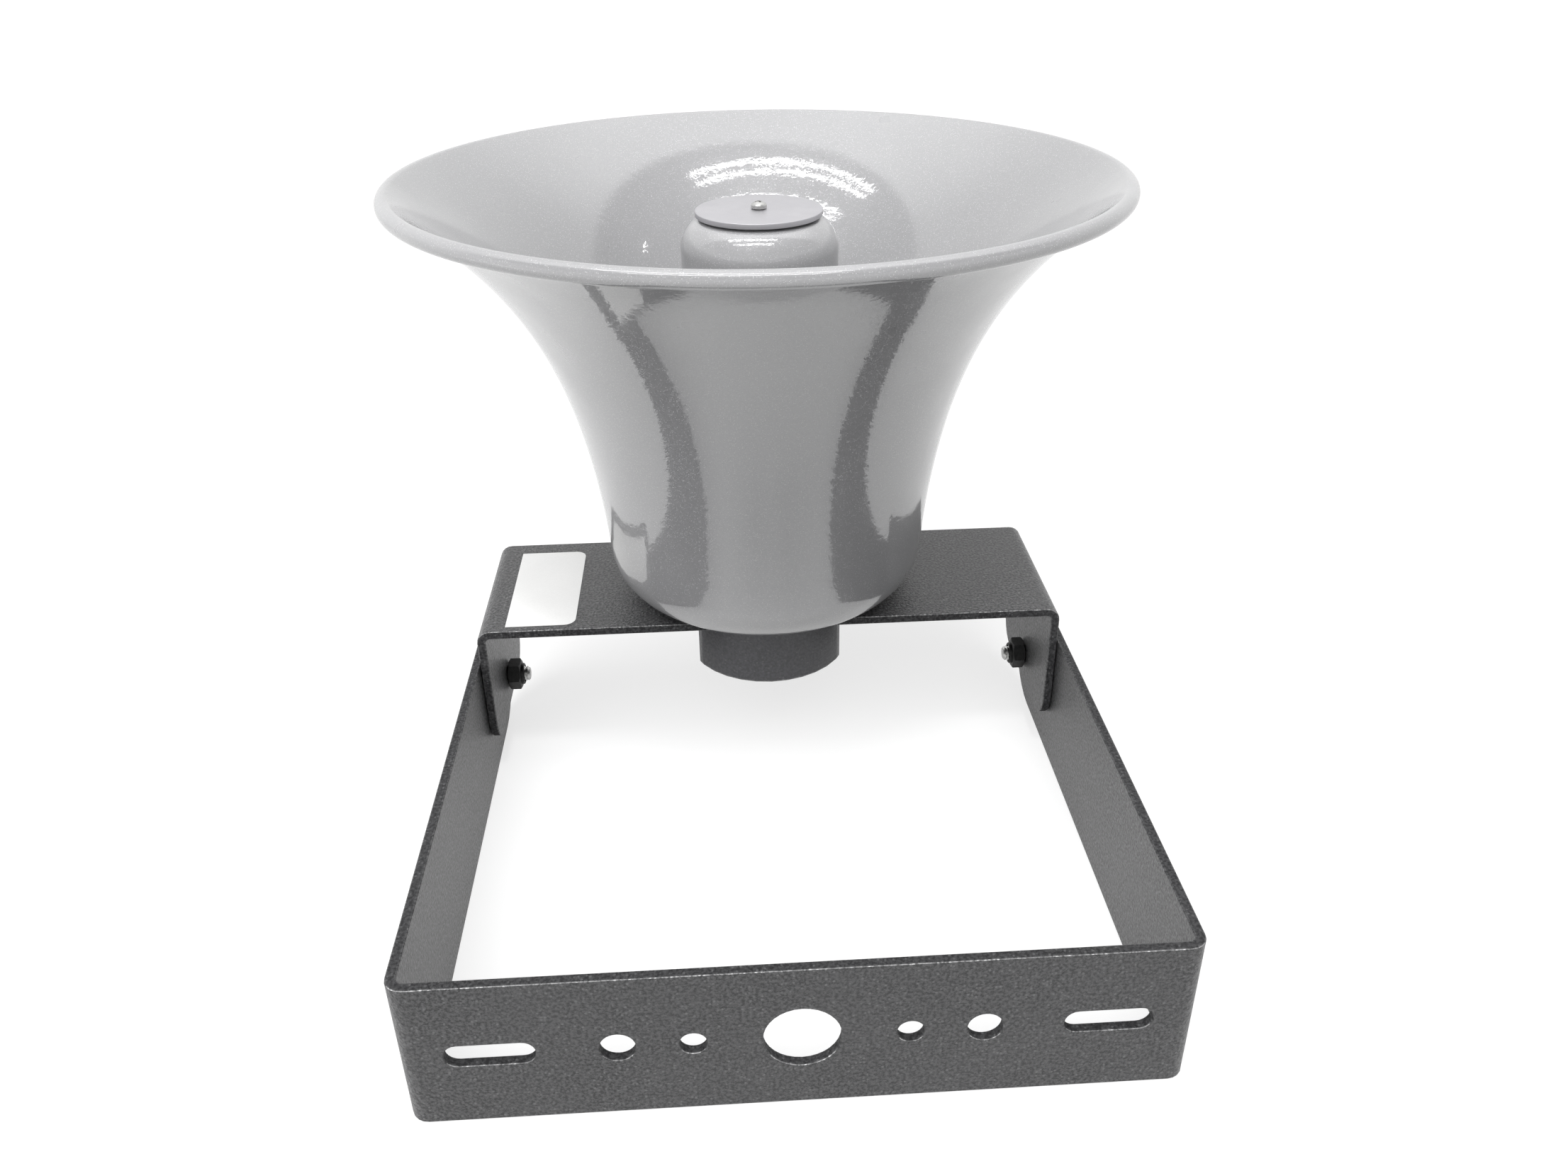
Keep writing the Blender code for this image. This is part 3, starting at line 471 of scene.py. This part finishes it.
def paper():
    """White label stock with a faint fibre and slightly greyed patches."""
    finish, tree, shader = material("label_stock", Coat_Weight=0.6, Coat_Roughness=0.15)
    where = place_on_object(tree)
    fibre = mottling(tree, where, 1800)
    cloud = spread(tree, noise(tree, where, 60, 3), 0.35, 0.75)
    base = blend(tree, fibre, (0.82, 0.82, 0.81, 1), (0.86, 0.86, 0.85, 1))
    colour = blend(tree, combine(tree, cloud, 0.3), base, (0.77, 0.77, 0.76, 1))
    roughness = spread(tree, cloud, 0, 1, 0.38, 0.5)
    fuzz = bump(tree, fibre, 0.00005, 0.15)
    join(tree, shader, Base_Color=colour, Roughness=roughness, Normal=fuzz)
    return finish


def matte(name, dark, light, rough, grain, relief):
    """Rubber, plastic, ferrite and film: two close tones with a fine grain."""
    finish, tree, shader = material(name)
    where = place_on_object(tree)
    tone = mottling(tree, where, grain, rough=0.6)
    cloud = mottling(tree, where, grain / 15, detail=2)
    colour = blend(tree, combine(tree, cloud, 0.4), blend(tree, tone, dark, light), dark)
    roughness = spread(tree, cloud, 0, 1, rough, rough + ROUGHNESS_RANGE)
    fine = bump(tree, tone, 0.00015, relief)
    join(tree, shader, Base_Color=colour, Roughness=roughness, Normal=fine)
    return finish


grey_enamel = enamel()
charcoal = powder_coat(
    "charcoal_coat", dark=0.005, light=0.072, speck=0.17, rough=0.34, relief=0.9, gloss=0.32,
)
# Lighter, with many bright specks, for sheet edges that face front and up: a painted highlight along them
charcoal_edge_highlight = powder_coat(
    "charcoal_edge_highlight", dark=0.05, light=0.29, speck=0.8, rough=0.3, relief=0.7, gloss=0.7, share=0.8,
)
charcoal_cut = powder_coat(
    "charcoal_cut", dark=0.016, light=0.055, speck=0.13, rough=0.5, relief=0.8, gloss=0.0, specular=0.2,
)
hub_coat = powder_coat(
    "hub_coat", dark=0.034, light=0.057, speck=0.1, rough=0.34, relief=0.22, gloss=0.5, cool=3.5,
)
# Lighter than the hub's coat, for all the hub's rounded edges: a painted highlight along them
hub_edge_highlight = powder_coat(
    "hub_edge_highlight", dark=0.06, light=0.12, speck=0.35, rough=0.3, relief=0.25, gloss=0.5,
)
black_steel = metal(
    "black_steel", grey(0.012), grey(0.03), rough=0.34, grain=700, relief=0.1, metallic=0.6,
)
zinc_steel = metal("zinc_steel", (0.50, 0.50, 0.49, 1), (0.68, 0.68, 0.67, 1), rough=0.24)
cast_alloy = metal(
    "cast_alloy", (0.36, 0.37, 0.38, 1), (0.48, 0.49, 0.50, 1), rough=0.42, grain=600, relief=0.2,
)
spun_aluminium = spun_metal()
brass = metal("brass", (0.56, 0.40, 0.16, 1), (0.72, 0.53, 0.24, 1), rough=0.26)
copper = metal(
    "copper", (0.62, 0.27, 0.13, 1), (0.78, 0.36, 0.19, 1), rough=0.28, grain=3000, relief=0.3,
)
black_rubber = matte("black_rubber", grey(0.012), grey(0.024), rough=0.72, grain=900, relief=0.2)
black_plastic = matte("black_plastic", grey(0.022), grey(0.038), rough=0.44, grain=1400, relief=0.12)
ferrite = matte("ferrite", grey(0.05, 0.004), grey(0.085, 0.005), rough=0.55, grain=800, relief=0.3)
amber_film = matte(
    "amber_film", (0.34, 0.16, 0.045, 1), (0.5, 0.25, 0.08, 1), rough=0.28, grain=500, relief=0.08,
)
label_stock = paper()


# Bell, bullet and what sits on it


def bell_profile():
    """Over the bead, down the outer side, under the base and up the inner side to the bead."""
    base = (BELL_BASE_DIAMETER - BELL_WALL) / 2
    rise = RIM_HEIGHT - BELL_CORNER_RADIUS - BELL_STRAIGHT
    scale = (RIM_DIAMETER / 2 - base) / (math.exp(rise / FLARE_LENGTH) - 1)
    bottom = bell_low.z
    foot = bottom + RIM_HEIGHT - rise
    half_wall = BELL_WALL / 2

    def beside(height, offset):
        """A point of the flare, moved square to it."""
        growth = math.exp((height - foot) / FLARE_LENGTH)
        slope = scale * growth / FLARE_LENGTH
        stretch = math.hypot(1, slope)
        return base + scale * (growth - 1) + offset / stretch, height - offset * slope / stretch

    rim_slope = scale * math.exp(rise / FLARE_LENGTH) / FLARE_LENGTH
    seam = math.acos(1 - BELL_WALL / BEAD_RADIUS)
    start = 180 - math.degrees(math.atan(rim_slope))
    end = start + math.degrees(seam) - 360
    bead_middle = beside(foot + rise, BEAD_RADIUS - half_wall)
    bead = arc(bead_middle, BEAD_RADIUS, start, end, BEAD_SEGMENTS)
    seam_drop = BEAD_RADIUS * math.sin(seam) / math.hypot(1, rim_slope)
    steps = [i / FLARE_SEGMENTS for i in range(FLARE_SEGMENTS)]
    outer = [beside(foot + (rise - seam_drop) * step, half_wall) for step in steps]
    inner = [beside(foot + rise * step, -half_wall) for step in steps]
    corner = (BELL_BASE_DIAMETER / 2 - FOOT_TAPER - BELL_CORNER_RADIUS, bottom + BELL_CORNER_RADIUS)
    lean = -math.degrees(math.atan(FOOT_TAPER / BELL_STRAIGHT))
    outside = bead + outer[::-1] + arc(corner, BELL_CORNER_RADIUS, lean, -90, CORNER_SEGMENTS)
    floor = [(SPIGOT_HOLE, bottom), (SPIGOT_HOLE, bottom + BELL_WALL)]
    inside = arc(corner, BELL_CORNER_RADIUS - BELL_WALL, -90, lean, CORNER_SEGMENTS) + inner
    return outside + floor + inside


def bullet_profile():
    """Over the top and the shoulder, round the lip and back inside."""
    low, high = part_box("reflector_bullet")
    radius = high.x - HORN_AXIS.x
    centre = (radius - BULLET_SHOULDER_RADIUS, high.z - BULLET_SHOULDER_RADIUS)
    lip = BULLET_WALL / 2
    profile = [(SCREW_HOLE, high.z)] + arc(centre, BULLET_SHOULDER_RADIUS, 90, 0, SHOULDER_SEGMENTS)
    profile += arc((radius - lip, low.z + lip), lip, 0, -180, 8)
    profile += arc(centre, BULLET_SHOULDER_RADIUS - BULLET_WALL, 0, 90, SHOULDER_SEGMENTS)
    return profile + [(SCREW_HOLE, high.z - BULLET_WALL)]


def disc_profile():
    """Over the top and down round the turned-down lip."""
    low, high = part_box("cap_disc")
    radius = high.x - HORN_AXIS.x
    middle = radius - DISC_EDGE
    lip = low.z - DISC_LIP
    profile = [(SCREW_HOLE, high.z)] + arc((middle, high.z - DISC_EDGE), DISC_EDGE, 90, 0, 5)
    profile += arc((middle, lip + DISC_EDGE), DISC_EDGE, 0, -90, 5)
    return profile + [(radius - DISC_LIP_WIDTH, lip), (radius - DISC_LIP_ROOT, low.z), (SCREW_HOLE, low.z)]


def tapered_bar(work, length, width, depth, place):
    """A bar that narrows downwards, its top a little above the place."""
    corners = []
    for z, part in ((BAR_PROUD, BAR_TOP_SHARE), (-depth, BAR_BOTTOM_SHARE)):
        for x, y in ((-1, -1), (1, -1), (1, 1), (-1, 1)):
            corner = Vector((x * part * length / 2, y * part * width / 2, z))
            corners.append(work.verts.new(place @ corner))
    for face in ((0, 3, 2, 1), (4, 5, 6, 7), (0, 1, 5, 4), (1, 2, 6, 5), (2, 3, 7, 6), (3, 0, 4, 7)):
        work.faces.new([corners[i] for i in face])


def cap_screw_mesh():
    """A domed head with a cross recess, on a plain shank."""
    low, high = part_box("cap_screw")
    radius = high.x - HORN_AXIS.x
    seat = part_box("cap_disc")[1].z + HEAD_GAP
    height = high.z - seat
    crown = (radius**2 + height**2 / 4) / height
    reach = math.degrees(math.asin(min(1, (radius - DOME_INSET) / crown)))
    dome = arc((0, high.z - crown), crown, 90, 90 - reach, 14)
    profile = [(0, high.z)] + dome[1:] + [(radius, dome[-1][1] - DOME_DROP)]
    profile += [(radius, seat + SCREW_FOOT_EDGE), (radius - SCREW_FOOT_EDGE, seat)]
    profile += [(SCREW_RADIUS, seat), (SCREW_RADIUS, low.z), (0, low.z)]
    head = turned("cap_screw_head", profile, SMALL_STEPS)
    for quarter in range(2):
        work = bmesh.new()
        turn = Matrix.Rotation(math.radians(RECESS_TURN + 90 * quarter), 4, "Z")
        place = Matrix.Translation((HORN_AXIS.x, HORN_AXIS.y, high.z)) @ turn
        tapered_bar(work, RECESS_LENGTH, RECESS_WIDTH, RECESS_DEPTH, place)
        head = carved(head, to_mesh("recess", work))
    return head


bell_mesh = turned("bell_shell", bell_profile(), FINE_STEPS)
bell_shell = add_piece("bell_shell", bell_mesh, [grey_enamel], "horn", "bell")
bullet_mesh = turned("bullet_shell", bullet_profile(), ROUND_STEPS)
add_piece("bullet_shell", bullet_mesh, [grey_enamel], "horn", "reflector_bullet")
disc_mesh = turned("bare_disc", disc_profile(), ROUND_STEPS)
add_piece("bare_disc", disc_mesh, [spun_aluminium], "horn", "cap_disc")
add_piece("disc_screw", cap_screw_mesh(), [zinc_steel], "horn", "cap_screw")


# Sheet metal, the driver housing and the sticker


def label_mesh():
    """A thin sheet with two corners rounded, on the yoke's plate."""
    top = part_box("horn_yoke")[1].z
    (left, right), (near, far) = LABEL_X, LABEL_Y
    r = LABEL_CORNER_RADIUS
    outline = [(left, far), (left, near)]
    outline += arc((right - r, near + r), r, -90, 0, 10) + arc((right - r, far - r), r, 0, 90, 10)
    work = bmesh.new()
    low = [work.verts.new((x, y, top + LABEL_GAP)) for x, y in outline]
    high = [work.verts.new((x, y, top + LABEL_THICKNESS)) for x, y in outline]
    work.faces.new(low[::-1])
    work.faces.new(high)
    for i in range(len(outline)):
        j = (i + 1) % len(outline)
        work.faces.new((low[i], low[j], high[j], high[i]))
    return to_mesh("yoke_sticker", work)


def bracket_cut(place, normal):
    """Whether a face is along the bar's edges, round its arm ends or inside the holes of its base."""
    along_edge = abs(normal.z) > 0.4
    in_hole = place.y < BASE_FRONT + BASE_DEPTH and abs(normal.y) < 0.3 and abs(place.x) < HOLES_REACH
    on_arm_end = place.y > PIVOT.y and normal.y > 0.2 and abs(normal.x) < 0.5
    return along_edge or in_hole or on_arm_end


def yoke_cut(place, normal):
    """Whether a face is along the sheet's front and back edges or under its ears."""
    under_ear = normal.z < -0.4 and place.z < PIVOT.z
    return abs(normal.y) > 0.4 or under_ear


sheet_finishes = [charcoal, charcoal_edge_highlight, charcoal_cut]
for node, name, body, is_cut in (
    ("mounting_bracket", "bracket_bar", "bracket", bracket_cut),
    ("horn_yoke", "yoke_sheet", "horn", yoke_cut),
):
    sheet = softened(node, SHEET_EDGE, is_cut)
    keep_flats_flat(add_piece(name, sheet, sheet_finishes, body, node))
hub_mesh = softened("driver_housing", HUB_EDGE)
hub_finishes = [hub_coat, hub_edge_highlight]
hub = add_piece("driver_cup", hub_mesh, hub_finishes, "horn", "driver_housing")
keep_flats_flat(hub)
add_piece("yoke_sticker", label_mesh(), [label_stock], "horn")


# Pivot hardware, its axes along X


def hex_section(angle, low, high, bore):
    """A hexagon with both ends chamfered round, from its bore or its axis outwards and back."""
    radius = HEX_FLATS / 2 / math.cos(math.remainder(angle, math.pi / 3))
    flat = HEX_FLATS / 2 * HEX_FACE_SHARE
    drop = HEX_CHAMFER * (radius - flat)
    upper = [(bore, high), (flat, high), (radius, high - drop)]
    return upper + [(radius, low + drop), (flat, low), (bore, low)]


def thread_section(angle, start, end):
    """A threaded rod, from the middle of its start to the middle of its end, chamfered at the end."""
    points = [(0.0, start)]
    for i in range(THREAD_ROWS + 1):
        height = start + (end - start) * i / THREAD_ROWS
        phase = (height / THREAD_PITCH - angle / math.tau) % 1
        depth = THREAD_DEPTH * abs(2 * phase - 1)
        taper = max(0.0, THREAD_END_CHAMFER - (height - end))
        points.append((BOLT_RADIUS - max(depth, taper), height))
    return points + [(0.0, end)]


def span(node):
    """How near to the middle a node starts along X, and how far out it ends."""
    low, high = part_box(node)
    return sorted((abs(low.x), abs(high.x)))


for side, name in ((-1, "left"), (1, "right")):
    outward = Matrix.Translation(PIVOT) @ Matrix.Rotation(side * math.pi / 2, 4, "Y")

    inner, outer = span(f"pivot_washer_{name}")
    under_head = outer + HEAD_GAP
    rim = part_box(f"pivot_washer_{name}")[1].z - PIVOT.z
    shoulder = rim - WASHER_EDGE
    profile = [(SHANK_HOLE, outer)] + arc((shoulder, outer - WASHER_EDGE), WASHER_EDGE, 90, 0, 4)
    profile += [(rim, inner + WASHER_EDGE), (shoulder, inner), (SHANK_HOLE, inner)]
    washer = turned(f"washer_{name}", profile, SMALL_STEPS, outward)
    add_piece(f"washer_{name}", washer, [zinc_steel], "bracket", f"pivot_washer_{name}")

    end, top = span(f"pivot_bolt_{name}")
    work = bmesh.new()
    swept(work, lambda angle: hex_section(angle, under_head, top, 0.0), HEX_STEPS, outward)
    swept(work, lambda angle: thread_section(angle, under_head, end), THREAD_STEPS, outward)
    bolt = to_mesh(f"hex_bolt_{name}", work, HEX_SHARP_ANGLE)
    add_piece(f"hex_bolt_{name}", bolt, [zinc_steel], "bracket", f"pivot_bolt_{name}")

    inner, outer = span(f"lock_nut_{name}")
    seam = outer - NUT_HEX_HEIGHT
    collar_top = seam + NUT_COLLAR_OVERLAP
    collar_corner = (NUT_COLLAR_RADIUS - NUT_COLLAR_EDGE, inner + NUT_COLLAR_EDGE)
    collar = [(SHANK_HOLE, collar_top), (NUT_COLLAR_RADIUS, collar_top)]
    collar += arc(collar_corner, NUT_COLLAR_EDGE, 0, -90, 6) + [(SHANK_HOLE, inner)]
    work = bmesh.new()
    swept(work, lambda angle: hex_section(angle, seam, outer, SHANK_HOLE), HEX_STEPS, outward)
    swept(work, lambda angle: collar, SMALL_STEPS, outward)
    nut = to_mesh(f"collar_nut_{name}", work, HEX_SHARP_ANGLE)
    add_piece(f"collar_nut_{name}", nut, [black_steel], "bracket", f"lock_nut_{name}")


# Terminals under the housing

for name in ("left", "right"):
    low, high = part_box(f"terminal_screw_{name}")
    middle = Vector(((low.x + high.x) / 2, (low.y + high.y) / 2, 0))
    radius = (high.x - low.x) / 2
    seat = low.z + TERMINAL_HEAD_HEIGHT
    corner = (radius - TERMINAL_HEAD_EDGE, low.z + TERMINAL_HEAD_EDGE)
    profile = [(0, high.z), (TERMINAL_RADIUS, high.z), (TERMINAL_RADIUS, seat), (radius, seat)]
    profile += arc(corner, TERMINAL_HEAD_EDGE, 0, -90, 6) + [(0, low.z)]
    screw = turned(f"slot_screw_{name}", profile, SMALL_STEPS, Matrix.Translation(middle))
    work = bmesh.new()
    place = Matrix.Translation((middle.x, middle.y, low.z)) @ Matrix.Rotation(math.pi, 4, "X")
    tapered_bar(work, 3 * radius, TERMINAL_SLOT_WIDTH, TERMINAL_SLOT_DEPTH, place)
    screw = carved(screw, to_mesh("slot", work))
    add_piece(f"slot_screw_{name}", screw, [brass], "horn", f"terminal_screw_{name}")


# Solids that stay as they are

for finish, names in (
    (cast_alloy, ("throat_tube", "reflector_spider", "clamp_ring")),
    (black_rubber, ("flange_gasket", "driver_gasket")),
    (black_plastic, ("phase_plug", "back_cover", "terminal_bush_left", "terminal_bush_right")),
    (zinc_steel, ("top_plate", "pole_piece")),
    (black_steel, ("retaining_ring",)),
    (ferrite, ("magnet_ring",)),
    (amber_film, ("diaphragm",)),
    (copper, ("voice_coil",)),
):
    for name in names:
        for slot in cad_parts[name].material_slots:
            slot.material = finish


# Floor, light and camera


def floor_tones(tree):
    """The floor's colour, and the light added to it where the camera, gloss or glass shows it."""
    path = add(tree, "ShaderNodeLightPath").outputs
    mirrored = combine(tree, path["Is Glossy Ray"], path["Is Transmission Ray"], "MAXIMUM")
    mirrored_lift = combine(tree, mirrored, MIRRORED_FLOOR_LIFT)
    seen_lift = combine(tree, path["Is Camera Ray"], FLOOR_LIFT)
    lift = combine(tree, mirrored_lift, seen_lift, "MAXIMUM")
    return blend(tree, mirrored, grey(FLOOR_TONE), grey(MIRRORED_FLOOR_TONE)), lift


def floor_gap(tree, horn_piece):
    """0 while the horn stays above the floor, 1 where it tilts down through it, as it can on a wall."""
    here = add(tree, "ShaderNodeNewGeometry").outputs["Position"]
    on_horn = add(tree, "ShaderNodeTexCoord", object=horn_piece).outputs["Object"]
    moved = vectors(tree, "DISTANCE", here, on_horn)["Value"]
    from_pivot = vectors(tree, "SUBTRACT", here, PIVOT)[0]
    across = vectors(tree, "MULTIPLY", from_pivot, (0, 1, 1))[0]
    reach = vectors(tree, "LENGTH", across)["Value"]
    return spread(tree, combine(tree, moved, reach, "DIVIDE"), *FLOOR_GAP_TURN)


def white_floor(horn_piece):
    """A pale floor that shows as white, and keeps the shadow."""
    finish = bpy.data.materials.new("white_floor")
    finish.use_nodes = True
    tree = finish.node_tree
    tree.nodes.clear()
    colour, strength = floor_tones(tree)
    diffuse = add(tree, "ShaderNodeBsdfDiffuse", [("Color", colour)])
    lift = add(tree, "ShaderNodeEmission", [("Strength", strength)])
    both = add(tree, "ShaderNodeAddShader", [(0, diffuse.outputs[0]), (1, lift.outputs[0])])
    gap = add(tree, "ShaderNodeBsdfTransparent")
    inputs = [(0, floor_gap(tree, horn_piece)), (1, both.outputs[0]), (2, gap.outputs[0])]
    surface = add(tree, "ShaderNodeMixShader", inputs)
    add(tree, "ShaderNodeOutputMaterial", [("Surface", surface.outputs[0])])
    work = bmesh.new()
    bmesh.ops.create_grid(work, x_segments=1, y_segments=1, size=FLOOR_SIZE)
    bmesh.ops.translate(work, vec=FLOOR_MIDDLE, verts=work.verts)
    floor = bpy.data.objects.new("floor", to_mesh("floor", work))
    floor.data.materials.append(finish)
    bpy.context.scene.collection.objects.link(floor)


def studio_world():
    """White where it is seen. For lighting, brightest straight overhead and dimmer in front."""
    world = bpy.data.worlds.new("studio")
    world.use_nodes = True
    bpy.context.scene.world = world
    tree = world.node_tree
    tree.nodes.clear()
    direction = add(tree, "ShaderNodeTexCoord").outputs["Generated"]
    height = add(tree, "ShaderNodeSeparateXYZ", [("Vector", direction)]).outputs["Z"]
    front = spread(tree, height, *FRONT_HEIGHTS, *FRONT_TONES)
    ceiling = spread(tree, height, *CEILING_HEIGHTS, *CEILING_TONES)
    side = vectors(tree, "DOT_PRODUCT", direction, CEILING_SIDE)["Value"]
    tone = between(tree, spread(tree, side, *CEILING_SIDE_EDGE), front, ceiling)
    path = add(tree, "ShaderNodeLightPath").outputs
    fill = combine(tree, tone, spread(tree, path["Is Diffuse Ray"], 0, 1, 1.0, DIFFUSE_SHARE))
    seen = combine(tree, path["Is Camera Ray"], path["Is Transmission Ray"], "MAXIMUM")
    strength = between(tree, seen, fill, 1.0)
    background = add(tree, "ShaderNodeBackground", [("Color", (1, 1, 1, 1)), ("Strength", strength)])
    add(tree, "ShaderNodeOutputWorld", [("Surface", background.outputs[0])])


def lamp(name, kind, place, power, **settings):
    light = bpy.data.lights.new(name, kind)
    light.energy = power
    for setting, value in settings.items():
        setattr(light, setting, value)
    obj = bpy.data.objects.new(name, light)
    obj.location = place
    bpy.context.scene.collection.objects.link(obj)
    return obj


def flat_lamp(name, place, size, power):
    return lamp(name, "AREA", place, power, shape="RECTANGLE", size=size[0], size_y=size[1])


def aim(obj, target):
    obj.rotation_euler = (Vector(target) - obj.location).to_track_quat("-Z", "Y").to_euler()


def ceiling_tubes():
    """Two ceiling fittings of two tubes each, which shine straight down."""
    for fitting, (near, far, turn) in enumerate(TUBE_FITTINGS):
        for tube, y in enumerate((near, far)):
            place = (TUBE_X, y, TUBE_HEIGHT)
            obj = flat_lamp(f"tube_{fitting}_{tube}", place, TUBE_SIZE, TUBE_POWER)
            obj.rotation_euler = (0, 0, math.radians(turn))


def soft_lamps():
    """A wash from above, a window low on the left and a beam into the bell's mouth, none mirrored."""
    wash = lamp("wash", "SUN", (0, 0, 0), WASH_POWER, angle=math.radians(WASH_WIDTH))
    wash.rotation_euler = [math.radians(turn) for turn in WASH_TURN]
    window = flat_lamp("side_window", WINDOW_PLACE, WINDOW_SIZE, WINDOW_POWER)
    aim(window, WINDOW_AIM)
    beam = lamp(
        "mouth_lamp", "SPOT", MOUTH_LAMP_PLACE, MOUTH_LAMP_POWER, spot_size=math.radians(MOUTH_LAMP_CONE),
        spot_blend=MOUTH_LAMP_BLEND, shadow_soft_size=MOUTH_LAMP_RADIUS,
    )
    aim(beam, HORN_AXIS + Vector((0, 0, bell_high.z)))
    for obj in (wash, window, beam):
        obj.visible_glossy = False


def small_lamp():
    """A bulb far to the right, which leaves a small glint inside the bell."""
    lamp("small_lamp", "POINT", SMALL_LAMP_PLACE, SMALL_LAMP_POWER, shadow_soft_size=SMALL_LAMP_RADIUS)


def photo_camera():
    camera = bpy.data.cameras.new("camera")
    camera.sensor_fit = "HORIZONTAL"
    camera.sensor_width = SENSOR_WIDTH
    camera.lens = CAMERA_LENS
    camera.clip_start = CAMERA_CLIP_START
    obj = bpy.data.objects.new("camera", camera)
    down, forward = Vector(CAMERA_DOWN), Vector(CAMERA_FORWARD)
    obj.matrix_world = Matrix((Vector(CAMERA_RIGHT), -down, -forward)).transposed().to_4x4()
    obj.matrix_world.translation = CAMERA_PLACE
    bpy.context.scene.collection.objects.link(obj)
    bpy.context.scene.camera = obj


white_floor(bell_shell)
studio_world()
ceiling_tubes()
soft_lamps()
small_lamp()
photo_camera()
bpy.context.scene.view_settings.view_transform = "Standard"
